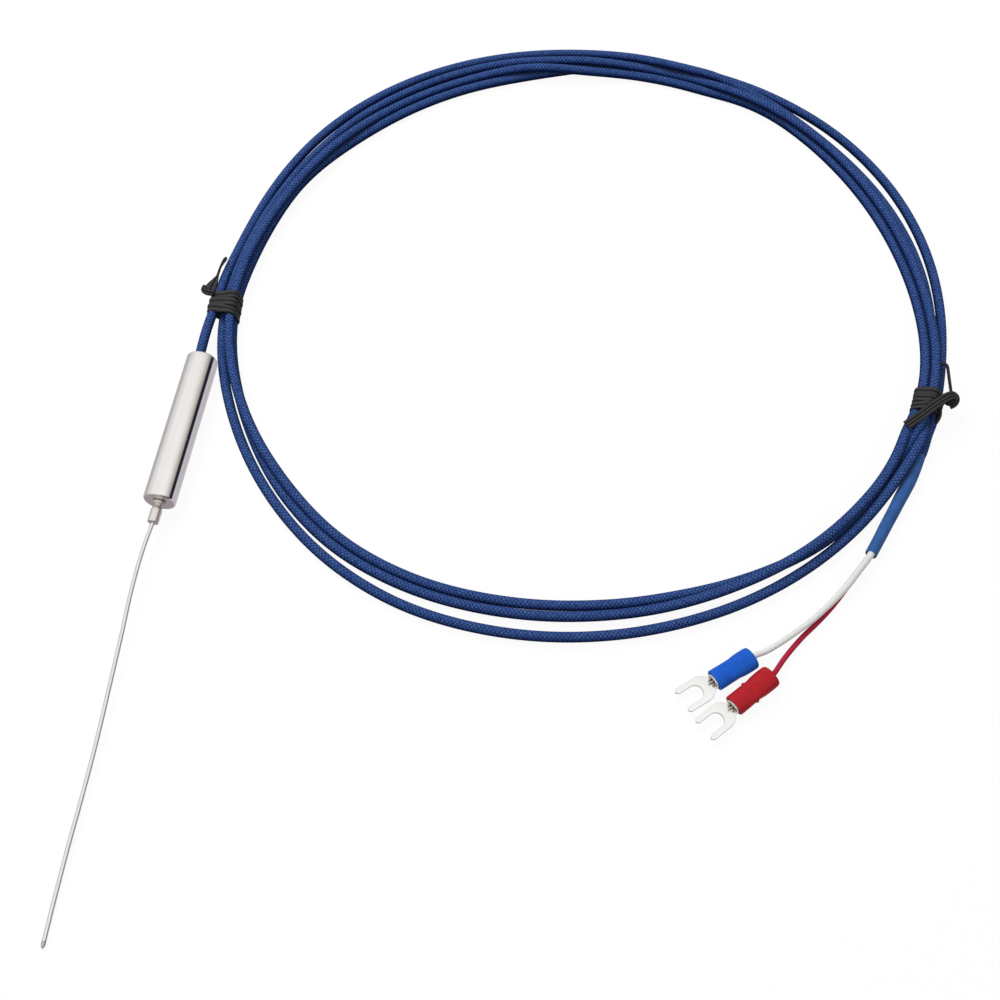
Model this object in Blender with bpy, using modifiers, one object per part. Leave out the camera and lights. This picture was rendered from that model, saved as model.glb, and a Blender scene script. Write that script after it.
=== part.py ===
"""Mineral insulated thermocouple probe with its cord coiled beside it. Sizes are in millimetres."""
import math

import bmesh
import bpy
from mathutils import Matrix, Vector

MM = 0.001

# Barrel, lying along Y with its front face towards the probe tip
BARREL_DIAMETER = 8.0
BARREL_LENGTH = 41.8
BARREL_REAR_Y = 73.5
BARREL_WALL = 0.5
BARREL_FRONT_WALL = 1.5
BARREL_CHAMFER = 0.3
SPOTFACE_DIAMETER = 3.8
SPOTFACE_DEPTH = 0.1
RING_LINE_DEPTH = 0.12
RING_LINE_WIDTH = 0.3
RING_LINE_INSET = 0.9

# Stepped ferrule in the barrel's front wall
COLLAR_DIAMETER = 3.2
COLLAR_LENGTH = 0.8
NECK_DIAMETER = 2.1
NECK_LENGTH = 0.5
SHOULDER_DIAMETER = 2.2
SHOULDER_LENGTH = 1.0
FERRULE_DIAMETER = 2.75
FERRULE_LENGTH = 5.7
SPIGOT_DIAMETER = 2.3
SPIGOT_LENGTH = 3.0
FERRULE_CHAMFER = 0.12

# Sheath and what it holds
SHEATH_DIAMETER = 1.0
SHEATH_WALL = 0.12
TIP_WELD_LENGTH = 1.3
THERMOELEMENT_DIAMETER = 0.17
THERMOELEMENT_SPACING = 0.32
JUNCTION_DIAMETER = 0.5
TAIL_FAN_LENGTH = 2.6
SHEATH_OVERHANG = 1.2

# Inside the barrel
POTTING_REAR_GAP = 3.2
POTTING_RECESS_DIAMETER = 4.4
POTTING_RECESS_DEPTH = 6.0
CHANNEL_DIAMETER = 1.0
CHANNEL_SPACING = 1.3
SPLICE_DIAMETER = 0.84
SPLICE_LENGTH = 6.0
SPLICE_SETBACK = 7.8
EXTENSION_DIAMETER = 0.5
PLUG_LENGTH = 2.6
PLUG_INSET = 0.3

# Cord, its coil and its ties
CORD_DIAMETER = 2.55
CORD_EXIT_X = -1.0
COIL_HEIGHT = 5.1
COIL_EDGE = 1.0
COIL_CENTRE = (93.0, 106.0)
TIE_THICKNESS = 0.8
TIE_HEIGHT = 5.9

# Heat-shrink sleeve and leads
SHRINK_REAR_DIAMETER = 3.3
SHRINK_FRONT_DIAMETER = 3.2
SHRINK_WALL = 0.25
SHRINK_START = (182.9, 75.2)
SHRINK_END = (171.4, 46.1)
TAIL_INSERTION = 12.0
LEAD_DIAMETER = 1.3
LEAD_STACK = 1.38

# Fork terminals
TERMINAL_FLATNESS = 0.74
TERMINAL_HEIGHT = 2.1
SLEEVE_REAR_DIAMETER = 5.6
SLEEVE_FRONT_DIAMETER = 5.3
SLEEVE_WAIST_DIAMETER = 4.9
SLEEVE_ENTRY_DIAMETER = 2.3
CRIMP_DIAMETER = 3.6
CRIMP_BORE = 2.0
CRIMP_START = 3.4
CRIMP_RECESS = 0.9
CONDUCTOR_DIAMETER = 0.7
CONDUCTOR_LENGTH = 5.4
TONGUE_THICKNESS = 0.8
TONGUE_DROP = 0.4
TONGUE_NECK_WIDTH = 3.1
FORK_WIDTH = 6.4
FORK_SLOT_WIDTH = 3.7
FORK_LENGTH = 9.1
FORK_SLOT_DEPTH = 5.6
FORK_TIP_CHAMFER = 0.5

# Clearances
RADIAL_CLEARANCE = 0.05
SHEATH_CLEARANCE = 0.09
FINE_CLEARANCE = 0.012
FACE_GAP = 0.3
SMALL_FACE_GAP = 0.06
PLUG_CLEARANCE = 0.1

AXIS_Z = BARREL_DIAMETER / 2
FRONT_Y = BARREL_REAR_Y - BARREL_LENGTH
BORE_RADIUS = BARREL_DIAMETER / 2 - BARREL_WALL
SHEATH_REAR_Y = FRONT_Y + SPIGOT_LENGTH + SHEATH_OVERHANG
SPLICE_START_Y = SHEATH_REAR_Y + SPLICE_SETBACK
CORE_RADIUS = SHEATH_DIAMETER / 2 - SHEATH_WALL - FINE_CLEARANCE * 2

# Middle line of the sheath from inside the barrel to the tip, which rests on the surface
SHEATH_ROUTE = [
    (0.0, SHEATH_REAR_Y, AXIS_Z),
    (0.0, FRONT_Y, AXIS_Z),
    (0.0, FRONT_Y - FERRULE_LENGTH, AXIS_Z),
    (-0.35, 21.0, 3.83),
    (-0.5, 14.5, 3.58),
    (-0.25, 6.5, 3.3),
    (0.35, -2.2, 2.98),
    (1.05, -14.5, 2.55),
    (1.8, -28.5, 2.07),
    (2.15, -41.0, 1.65),
    (2.3, -52.5, 1.24),
    (2.65, -64.0, 0.84),
    (3.05, -73.5, 0.51),
]

# Middle line of the cord between the barrel and the coil
LEAD_ROUTE = [
    (CORD_EXIT_X, BARREL_REAR_Y - PLUG_INSET - PLUG_LENGTH + FACE_GAP, AXIS_Z),
    (-1.0, 73.5, 4.0),
    (-1.2, 76.0, 4.0),
    (-1.4, 80.0, 3.6),
    (-1.5, 83.2, 3.1),
]

# Outer edge of the coil: angle from +X in degrees, radius
COIL_OUTER = [
    (193.3, 94.2), (193.3, 98.1), (187.0, 96.9), (180.0, 95.7), (167.0, 94.6), (153.0, 95.3), (139.0, 95.4),
    (125.0, 94.7), (111.0, 94.0), (97.0, 93.5), (83.0, 93.5), (69.0, 94.7), (55.0, 96.5), (41.0, 97.3),
    (27.0, 97.4), (13.0, 96.5), (-1.0, 96.0), (-9.0, 96.0), (-17.2, 96.2), (-17.2, 92.9), (-29.0, 93.0),
    (-43.0, 93.0), (-57.0, 93.0), (-71.0, 93.2), (-85.0, 94.5), (-99.0, 96.0), (-113.0, 97.1), (-127.0, 97.1),
    (-141.0, 96.2), (-155.0, 95.0), (-161.0, 94.2),
]

# Inner edge of the coil
COIL_INNER = [
    (190.0, 89.9), (180.0, 88.6), (167.0, 86.9), (153.0, 84.8), (139.0, 82.4), (125.0, 81.5), (111.0, 81.6),
    (97.0, 83.2), (83.0, 83.3), (69.0, 84.5), (55.0, 86.0), (41.0, 85.8), (27.0, 86.2), (13.0, 87.3),
    (-1.0, 88.6), (-15.0, 88.5), (-29.0, 87.5), (-43.0, 86.2), (-57.0, 84.3), (-71.0, 83.0), (-85.0, 83.5),
    (-99.0, 85.2), (-113.0, 87.3), (-127.0, 88.9), (-141.0, 89.5), (-155.0, 90.2),
]

# Ties: name, angle, inner and outer radius of the band, length along the cord
TIES = [
    ("left_tie", 189.5, 89.3, 98.3, 7.6),
    ("right_tie", -9.5, 88.0, 96.5, 4.4),
]

# Middle line of the cord between the coil and the heat-shrink sleeve
TAIL_ROUTE = [
    (183.75, 77.6, 1.3),
    (183.3, 76.3, 1.45),
    (182.9, 75.2, 1.66),
]

# Middle lines of the two leads past the mouth of the heat-shrink sleeve
WHITE_ROUTE = [
    (168.5, 40.9, 2.3),
    (166.2, 36.8, 2.2),
    (163.9, 33.3, 2.15),
    (159.6, 28.1, 2.1),
    (154.5, 22.5, 2.1),
    (151.2, 19.6, 2.1),
    (147.8, 16.7, 2.1),
]
RED_ROUTE = [
    (168.8, 41.6, 0.8),
    (166.5, 37.3, 0.68),
    (164.4, 33.8, 0.68),
    (160.3, 27.5, 0.68),
    (156.6, 22.6, 0.68),
    (153.2, 17.3, 1.1),
    (151.4, 14.5, 1.7),
]

# Terminals: colour, rear end, front end of the insulating sleeve
TERMINALS = [
    ("blue", (145.4, 15.2), (137.25, 8.0)),
    ("red", (150.15, 11.5), (142.1, 2.65)),
]

# Look of each piece: colour, metallic, roughness
LOOKS = {
    "transition_barrel": ((0.62, 0.61, 0.60), 1.0, 0.16),
    "ferrule": ((0.58, 0.58, 0.58), 1.0, 0.25),
    "probe_sheath": ((0.60, 0.60, 0.60), 1.0, 0.22),
    "tip_weld": ((0.42, 0.42, 0.42), 1.0, 0.35),
    "mineral_insulation": ((0.86, 0.86, 0.84), 0.0, 0.9),
    "positive_thermoelement": ((0.50, 0.48, 0.46), 1.0, 0.4),
    "negative_thermoelement": ((0.56, 0.54, 0.50), 1.0, 0.4),
    "hot_junction": ((0.45, 0.44, 0.43), 1.0, 0.45),
    "potting_compound": ((0.12, 0.11, 0.10), 0.0, 0.5),
    "positive_splice": ((0.66, 0.66, 0.66), 1.0, 0.35),
    "negative_splice": ((0.66, 0.66, 0.66), 1.0, 0.35),
    "positive_extension_core": ((0.62, 0.60, 0.56), 1.0, 0.4),
    "negative_extension_core": ((0.62, 0.60, 0.56), 1.0, 0.4),
    "rear_plug": ((0.10, 0.10, 0.10), 0.0, 0.6),
    "cord_lead": ((0.03, 0.07, 0.24), 0.0, 0.6),
    "cord_coil": ((0.03, 0.07, 0.24), 0.0, 0.6),
    "cord_tail": ((0.03, 0.07, 0.24), 0.0, 0.6),
    "left_tie": ((0.05, 0.045, 0.045), 0.0, 0.6),
    "right_tie": ((0.05, 0.045, 0.045), 0.0, 0.6),
    "heat_shrink_sleeve": ((0.05, 0.16, 0.42), 0.0, 0.45),
    "white_lead": ((0.80, 0.80, 0.78), 0.0, 0.4),
    "red_lead": ((0.42, 0.02, 0.04), 0.0, 0.4),
    "white_conductor": ((0.62, 0.60, 0.56), 1.0, 0.4),
    "red_conductor": ((0.62, 0.60, 0.56), 1.0, 0.4),
    "blue_terminal_sleeve": ((0.01, 0.12, 0.70), 0.0, 0.3),
    "red_terminal_sleeve": ((0.55, 0.01, 0.03), 0.0, 0.3),
    "blue_fork_terminal": ((0.72, 0.71, 0.69), 1.0, 0.25),
    "red_fork_terminal": ((0.72, 0.71, 0.69), 1.0, 0.25),
}


# Scene and collections
def clear_scene():
    for item in list(bpy.data.objects):
        bpy.data.objects.remove(item)


def make_collection(name):
    group = bpy.data.collections.new(name)
    bpy.context.scene.collection.children.link(group)
    return group


clear_scene()
PART = make_collection("thermocouple_probe")
CUTTERS = make_collection("cutters")


def add_material(piece, name):
    colour, metallic, roughness = LOOKS[name]
    look = bpy.data.materials.new(name)
    look.use_nodes = True
    shader = look.node_tree.nodes["Principled BSDF"]
    shader.inputs["Base Color"].default_value = (*colour, 1.0)
    shader.inputs["Metallic"].default_value = metallic
    shader.inputs["Roughness"].default_value = roughness
    piece.data.materials.append(look)


def finish_piece(piece, name):
    piece.name = name
    PART.objects.link(piece)
    add_material(piece, name)
    if piece.type == "MESH":
        piece.data.shade_smooth()
        piece.data.set_sharp_from_angle(angle=math.radians(32))
    return piece


def as_cutter(piece):
    CUTTERS.objects.link(piece)
    piece.hide_render = True
    piece.display_type = "WIRE"
    return piece


def cut(piece, cutter, operation="DIFFERENCE"):
    step = piece.modifiers.new("Cut " + cutter.name, "BOOLEAN")
    step.solver = "EXACT"
    step.operation = operation
    step.object = cutter


# Shapes
def baked(source, name, matrix):
    """Mesh of a finished shape, moved by a matrix and with its seams welded."""
    holder = bpy.context.scene.collection
    holder.objects.link(source)
    bpy.context.view_layer.update()
    graph = bpy.context.evaluated_depsgraph_get()
    mesh = bpy.data.meshes.new_from_object(source.evaluated_get(graph))
    shape = bmesh.new()
    shape.from_mesh(mesh)
    bmesh.ops.transform(shape, matrix=matrix, verts=shape.verts)
    bmesh.ops.remove_doubles(shape, verts=shape.verts, dist=5e-7)
    bmesh.ops.recalc_face_normals(shape, faces=shape.faces)
    shape.to_mesh(mesh)
    shape.free()
    mesh.name = name
    mesh.materials.clear()
    bpy.data.objects.remove(source)
    return bpy.data.objects.new(name, mesh)


def turned(name, profile, closed, steps):
    """Profile of (radius, height) pairs turned round Z."""
    mesh = bpy.data.meshes.new(name)
    count = len(profile)
    edges = [(index, index + 1) for index in range(count - 1)]
    if closed:
        edges.append((count - 1, 0))
    mesh.from_pydata([(radius * MM, 0.0, height * MM) for radius, height in profile], edges, [])
    piece = bpy.data.objects.new(name, mesh)
    screw = piece.modifiers.new("Turn", "SCREW")
    screw.axis = "Z"
    screw.steps = steps
    screw.render_steps = steps
    screw.use_merge_vertices = True
    screw.merge_threshold = 1e-6
    return piece


def along(origin, direction, up=(0.0, 0.0, 1.0)):
    """Matrix that lays local Z along a direction and local Y upwards."""
    axis = Vector(direction).normalized()
    side = Vector(up).cross(axis).normalized()
    top = axis.cross(side)
    matrix = Matrix((side, top, axis)).transposed().to_4x4()
    matrix.translation = Vector(origin) * MM
    return matrix


def turned_along(name, profile, closed, steps, origin, direction, flatness=1.0):
    piece = turned(name, profile, closed, steps)
    matrix = along(origin, direction) @ Matrix.Diagonal((1.0, flatness, 1.0, 1.0))
    return baked(piece, name, matrix)


def tube(name, route, diameter, resolution=2):
    """Round rod along a route, with flat ends."""
    curve = bpy.data.curves.new(name, "CURVE")
    curve.dimensions = "3D"
    curve.bevel_depth = diameter * MM / 2
    curve.bevel_resolution = resolution
    curve.use_fill_caps = True
    spline = curve.splines.new("POLY")
    spline.points.add(len(route) - 1)
    for point, place in zip(spline.points, route):
        point.co = (place[0] * MM, place[1] * MM, place[2] * MM, 1.0)
    return bpy.data.objects.new(name, curve)


def baked_tube(name, route, diameter, resolution=2):
    return baked(tube(name, route, diameter, resolution), name, Matrix.Identity(4))


def slab(name, loops, thickness, matrix):
    """Flat plate with the given closed outlines."""
    curve = bpy.data.curves.new(name, "CURVE")
    curve.dimensions = "2D"
    curve.fill_mode = "BOTH"
    curve.extrude = thickness * MM / 2
    for loop in loops:
        spline = curve.splines.new("POLY")
        spline.points.add(len(loop) - 1)
        spline.use_cyclic_u = True
        for point, place in zip(spline.points, loop):
            point.co = (place[0] * MM, place[1] * MM, 0.0, 1.0)
    return baked(bpy.data.objects.new(name, curve), name, matrix)


def box(name, low, high, matrix=None):
    """Box between two corners, in the frame of a matrix."""
    size = Vector(high) - Vector(low)
    middle = (Vector(high) + Vector(low)) / 2
    shape = bmesh.new()
    bmesh.ops.create_cube(shape, size=1.0)
    bmesh.ops.scale(shape, vec=size * MM, verts=shape.verts)
    bmesh.ops.translate(shape, vec=middle * MM, verts=shape.verts)
    if matrix is not None:
        bmesh.ops.transform(shape, matrix=matrix, verts=shape.verts)
    mesh = bpy.data.meshes.new(name)
    shape.to_mesh(mesh)
    shape.free()
    return bpy.data.objects.new(name, mesh)


# Smooth routes
def smooth_point(before, start, end, after, part):
    square = part * part
    cube = square * part
    weights = (
        -0.5 * cube + square - 0.5 * part,
        1.5 * cube - 2.5 * square + 1.0,
        -1.5 * cube + 2.0 * square + 0.5 * part,
        0.5 * cube - 0.5 * square,
    )
    total = Vector((0.0, 0.0, 0.0))
    for weight, point in zip(weights, (before, start, end, after)):
        total += Vector(point) * weight
    return total


def smooth_route(route, spacing):
    """Points read at about equal spacing from a smooth line through the route."""
    points = [Vector(point) for point in route]
    first = points[0] * 2 - points[1]
    last = points[-1] * 2 - points[-2]
    padded = [first] + points + [last]
    result = [points[0]]
    for index in range(len(points) - 1):
        span = (points[index + 1] - points[index]).length
        pieces = max(1, round(span / spacing))
        for piece in range(1, pieces + 1):
            result.append(smooth_point(*padded[index:index + 4], piece / pieces))
    return result


def shifted(route, offset):
    return [point + Vector(offset) for point in route]


def longer(route, extra):
    """The same route with both ends carried on straight."""
    start = route[0] + (route[0] - route[1]).normalized() * extra
    end = route[-1] + (route[-1] - route[-2]).normalized() * extra
    return [start] + route[1:-1] + [end]


# Probe sheath and its contents
def sheath_lines():
    line = smooth_route(SHEATH_ROUTE, 7.0)
    direction = (line[-1] - line[-2]).normalized()
    weld_start = line[-1] - direction * TIP_WELD_LENGTH
    return line[:-1] + [weld_start - direction * SMALL_FACE_GAP], weld_start, direction


def build_sheath():
    line, weld_start, direction = sheath_lines()
    sheath = baked_tube("probe_sheath", line, SHEATH_DIAMETER, 4)
    bore = baked_tube("sheath_bore", longer(line, 1.0), SHEATH_DIAMETER - 2 * SHEATH_WALL, 4)
    cut(sheath, as_cutter(bore))
    finish_piece(sheath, "probe_sheath")
    radius = SHEATH_DIAMETER / 2
    height = TIP_WELD_LENGTH
    profile = [(0.0, height), (radius * 0.45, height * 0.93), (radius * 0.8, height * 0.72)]
    profile += [(radius * 0.97, height * 0.4), (radius, 0.0), (0.0, 0.0)]
    weld = turned_along("tip_weld", profile, False, 24, weld_start, direction)
    finish_piece(weld, "tip_weld")


def build_insulation():
    line, weld_start, direction = sheath_lines()
    end = weld_start - direction * (JUNCTION_DIAMETER + 2 * SMALL_FACE_GAP)
    core_line = line[:-1] + [end]
    core = baked_tube("mineral_insulation", core_line, CORE_RADIUS * 2, 4)
    for side in (-1, 1):
        offset = (side * THERMOELEMENT_SPACING / 2, 0.0, 0.0)
        width = THERMOELEMENT_DIAMETER + 2 * FINE_CLEARANCE
        hole = baked_tube("core_bore", longer(shifted(core_line, offset), 1.0), width, 2)
        cut(core, as_cutter(hole))
    finish_piece(core, "mineral_insulation")
    middle = end + direction * (JUNCTION_DIAMETER / 2 + SMALL_FACE_GAP)
    half = JUNCTION_DIAMETER / 2
    ball = [(half * math.sin(math.pi * k / 8), half * math.cos(math.pi * k / 8)) for k in range(9)]
    ball[0] = (0.0, half)
    ball[-1] = (0.0, -half)
    junction = turned_along("hot_junction", ball, False, 16, middle, direction)
    finish_piece(junction, "hot_junction")
    return core_line


def channel_x(side):
    return CORD_EXIT_X + side * CHANNEL_SPACING / 2


def build_thermoelements(core_line):
    for side, name in ((1, "positive_thermoelement"), (-1, "negative_thermoelement")):
        inner = side * THERMOELEMENT_SPACING / 2
        outer = channel_x(side)
        start = SHEATH_REAR_Y
        fan = [
            (outer, SPLICE_START_Y + 2.0, AXIS_Z),
            (outer, SPLICE_START_Y - 0.6, AXIS_Z),
            (outer, start + TAIL_FAN_LENGTH + 1.0, AXIS_Z),
            (inner * 0.6 + outer * 0.4, start + TAIL_FAN_LENGTH / 2, AXIS_Z),
            (inner, start + 0.4, AXIS_Z),
        ]
        route = [Vector(point) for point in fan] + shifted(core_line, (inner, 0.0, 0.0))
        finish_piece(tube(name, route, THERMOELEMENT_DIAMETER, 2), name)


# Ferrule and barrel
def build_ferrule():
    front = FRONT_Y - FERRULE_LENGTH
    rear = FRONT_Y + SPIGOT_LENGTH
    collar = FRONT_Y - SMALL_FACE_GAP
    neck = collar - COLLAR_LENGTH
    step = neck - NECK_LENGTH
    bore = SHEATH_DIAMETER / 2 + SHEATH_CLEARANCE
    radius = FERRULE_DIAMETER / 2
    profile = [
        (SPIGOT_DIAMETER / 2, rear),
        (SPIGOT_DIAMETER / 2, collar),
        (COLLAR_DIAMETER / 2, collar),
        (COLLAR_DIAMETER / 2, neck),
        (NECK_DIAMETER / 2, neck),
        (NECK_DIAMETER / 2, step),
        (SHOULDER_DIAMETER / 2, step),
        (radius, step - SHOULDER_LENGTH),
        (radius, front + FERRULE_CHAMFER),
        (radius - FERRULE_CHAMFER, front),
        (bore + 0.2, front),
        (bore, front + 0.5),
        (bore, rear),
    ]
    piece = turned_along("ferrule", profile, True, 32, (0.0, 0.0, AXIS_Z), (0.0, 1.0, 0.0))
    finish_piece(piece, "ferrule")


def build_barrel():
    radius = BARREL_DIAMETER / 2
    groove = BARREL_REAR_Y - RING_LINE_INSET
    hole = SPIGOT_DIAMETER / 2 + RADIAL_CLEARANCE
    profile = [
        (radius - BARREL_CHAMFER, BARREL_REAR_Y),
        (radius, BARREL_REAR_Y - BARREL_CHAMFER),
        (radius, groove + RING_LINE_WIDTH / 2),
        (radius - RING_LINE_DEPTH, groove),
        (radius, groove - RING_LINE_WIDTH / 2),
        (radius, FRONT_Y + BARREL_CHAMFER),
        (radius - BARREL_CHAMFER, FRONT_Y),
        (SPOTFACE_DIAMETER / 2, FRONT_Y),
        (SPOTFACE_DIAMETER / 2, FRONT_Y + SPOTFACE_DEPTH),
        (hole, FRONT_Y + SPOTFACE_DEPTH),
        (hole, FRONT_Y + BARREL_FRONT_WALL),
        (BORE_RADIUS, FRONT_Y + BARREL_FRONT_WALL),
        (BORE_RADIUS, BARREL_REAR_Y),
    ]
    origin = (0.0, 0.0, AXIS_Z)
    piece = turned_along("transition_barrel", profile, True, 48, origin, (0.0, 1.0, 0.0))
    finish_piece(piece, "transition_barrel")


def build_potting():
    front = FRONT_Y + BARREL_FRONT_WALL + FACE_GAP
    rear = BARREL_REAR_Y - POTTING_REAR_GAP
    recess = front + POTTING_RECESS_DEPTH
    radius = BORE_RADIUS - PLUG_CLEARANCE
    profile = [
        (0.0, rear),
        (radius, rear),
        (radius, front),
        (POTTING_RECESS_DIAMETER / 2, front),
        (POTTING_RECESS_DIAMETER / 2, recess),
        (0.0, recess),
    ]
    origin = (0.0, 0.0, AXIS_Z)
    piece = turned_along("potting_compound", profile, False, 32, origin, (0.0, 1.0, 0.0))
    for side in (-1, 1):
        start = Vector((channel_x(side), recess - 1.0, AXIS_Z))
        end = Vector((channel_x(side), rear + 1.0, AXIS_Z))
        cut(piece, as_cutter(baked_tube("channel", [start, end], CHANNEL_DIAMETER, 4)))
    finish_piece(piece, "potting_compound")


def build_splices():
    bore = EXTENSION_DIAMETER / 2 + FINE_CLEARANCE * 2
    outer = SPLICE_DIAMETER / 2
    middle = SPLICE_START_Y + SPLICE_LENGTH / 2
    end = BARREL_REAR_Y - PLUG_INSET - PLUG_LENGTH
    for side, name in ((1, "positive"), (-1, "negative")):
        profile = [
            (outer, SPLICE_START_Y + SPLICE_LENGTH),
            (outer, SPLICE_START_Y),
            (bore, SPLICE_START_Y),
            (bore, SPLICE_START_Y + SPLICE_LENGTH),
        ]
        origin = (channel_x(side), 0.0, AXIS_Z)
        splice = turned_along(name + "_splice", profile, True, 16, origin, (0.0, 1.0, 0.0))
        finish_piece(splice, name + "_splice")
        route = [Vector((channel_x(side), y, AXIS_Z)) for y in (middle, (middle + end) / 2, end)]
        finish_piece(tube(name + "_extension_core", route, EXTENSION_DIAMETER, 2), name + "_extension_core")


def build_plug():
    rear = BARREL_REAR_Y - PLUG_INSET
    front = rear - PLUG_LENGTH
    radius = BORE_RADIUS - PLUG_CLEARANCE
    profile = [(0.0, rear), (radius, rear), (radius, front), (0.0, front)]
    plug = turned_along("rear_plug", profile, False, 32, (0.0, 0.0, AXIS_Z), (0.0, 1.0, 0.0))
    start = Vector((CORD_EXIT_X, front - 1.0, AXIS_Z))
    end = Vector((CORD_EXIT_X, rear + 1.0, AXIS_Z))
    hole = baked_tube("cord_hole", [start, end], CORD_DIAMETER + 4 * PLUG_CLEARANCE, 6)
    cut(plug, as_cutter(hole))
    finish_piece(plug, "rear_plug")


# Cord and coil
def polar(angle, radius):
    turn = math.radians(angle)
    return (COIL_CENTRE[0] + radius * math.cos(turn), COIL_CENTRE[1] + radius * math.sin(turn))


def ring_loop(knots):
    """Closed outline through polar knots, with extra points on the long arcs."""
    loop = []
    for index, (angle, radius) in enumerate(knots):
        following = knots[(index + 1) % len(knots)]
        turn = following[0] - angle
        if index == len(knots) - 1:
            turn -= 360.0
        pieces = max(1, round(abs(turn) / 5.0))
        for piece in range(pieces):
            part = piece / pieces
            loop.append(polar(angle + turn * part, radius + (following[1] - radius) * part))
    return loop


def tie_matrix(angle):
    """Frame with X pointing out from the coil's centre, Y along the cord and Z up."""
    matrix = Matrix.Rotation(math.radians(angle), 4, "Z")
    matrix.translation = Vector((COIL_CENTRE[0], COIL_CENTRE[1], 0.0)) * MM
    return matrix


def build_coil():
    place = Matrix.Translation((0.0, 0.0, COIL_HEIGHT * MM / 2))
    coil = slab("cord_coil", [ring_loop(COIL_OUTER), ring_loop(COIL_INNER)], COIL_HEIGHT, place)
    edge = coil.modifiers.new("Soft edge", "BEVEL")
    edge.width = COIL_EDGE * MM
    edge.segments = 2
    edge.limit_method = "ANGLE"
    edge.angle_limit = math.radians(60)
    for name, angle, inner, outer, length in TIES:
        matrix = tie_matrix(angle)
        half = length / 2 + FACE_GAP
        step = TIE_THICKNESS + FACE_GAP
        shell = box(name + "_seat", (inner - 6, -half, -3), (outer + 6, half, COIL_HEIGHT + 6), matrix)
        low = (inner + step, -half - 2, step)
        high = (outer - step, half + 2, TIE_HEIGHT - step)
        hollow = box(name + "_seat_hollow", low, high, matrix)
        cut(shell, as_cutter(hollow))
        cut(coil, as_cutter(shell))
    finish_piece(coil, "cord_coil")


def build_ties():
    knobs = {"left_tie": (97.4, 2.2, 100.6, 5.4), "right_tie": (96.0, -0.4, 98.9, 2.6)}
    for name, angle, inner, outer, length in TIES:
        matrix = tie_matrix(angle)
        half = length / 2
        band = box(name, (inner, -half, 0.0), (outer, half, TIE_HEIGHT), matrix)
        low = (inner + TIE_THICKNESS, -half - 2, TIE_THICKNESS)
        high = (outer - TIE_THICKNESS, half + 2, TIE_HEIGHT - TIE_THICKNESS)
        cut(band, as_cutter(box(name + "_hollow", low, high, matrix)))
        x_low, y_low, x_high, y_high = knobs[name]
        direction = -1.0 if name == "left_tie" else 1.0
        ends = sorted((direction * y_low, direction * y_high))
        knob = box(name + "_knob", (x_low, ends[0], 2.2), (x_high, ends[1], 4.8), matrix)
        cut(band, as_cutter(knob), "UNION")
        soft = band.modifiers.new("Soft edge", "BEVEL")
        soft.width = 0.2 * MM
        soft.segments = 2
        soft.limit_method = "ANGLE"
        finish_piece(band, name)


def build_cord():
    lead = smooth_route(LEAD_ROUTE, 3.0)
    finish_piece(tube("cord_lead", lead, CORD_DIAMETER, 2), "cord_lead")
    start = Vector((*SHRINK_START, SHRINK_REAR_DIAMETER / 2))
    end = Vector((*SHRINK_END, SHRINK_REAR_DIAMETER / 2))
    axis = (end - start).normalized()
    inside = [start + axis * (TAIL_INSERTION * k / 3) for k in (1, 2, 3)]
    route = smooth_route(TAIL_ROUTE, 3.0) + inside
    finish_piece(tube("cord_tail", route, CORD_DIAMETER, 2), "cord_tail")


# Heat-shrink sleeve and leads
def build_shrink():
    centre_z = SHRINK_REAR_DIAMETER / 2
    start = Vector((*SHRINK_START, centre_z))
    end = Vector((*SHRINK_END, centre_z))
    length = (end - start).length
    rear = SHRINK_REAR_DIAMETER / 2
    front = SHRINK_FRONT_DIAMETER / 2
    profile = [
        (front, length),
        (rear, 0.0),
        (rear - SHRINK_WALL, 0.0),
        (front - SHRINK_WALL + 0.03, length),
    ]
    sleeve = turned_along("heat_shrink_sleeve", profile, True, 24, start, end - start)
    finish_piece(sleeve, "heat_shrink_sleeve")
    return start, (end - start).normalized(), length


def build_leads(start, axis, length):
    for name, route, side in (("white_lead", WHITE_ROUTE, 1), ("red_lead", RED_ROUTE, -1)):
        lift = Vector((0.0, 0.0, side * LEAD_STACK / 2))
        inside = [start + axis * reach + lift for reach in (TAIL_INSERTION + 1.0, length - 8.0, length)]
        colour = "blue" if side == 1 else "red"
        rear, direction = terminal_frame(colour)
        entry = [rear - direction * 0.5, rear + direction * (CRIMP_START - FACE_GAP)]
        line = smooth_route(inside + [Vector(point) for point in route] + entry, 3.0)
        finish_piece(tube(name, line, LEAD_DIAMETER, 2), name)


# Fork terminals
def terminal_frame(colour):
    for name, rear, front in TERMINALS:
        if name == colour:
            start = Vector((*rear, TERMINAL_HEIGHT))
            end = Vector((*front, TERMINAL_HEIGHT))
            return start, (end - start).normalized()
    return None


def terminal_length(colour):
    for name, rear, front in TERMINALS:
        if name == colour:
            return (Vector(front) - Vector(rear)).length
    return None


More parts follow.
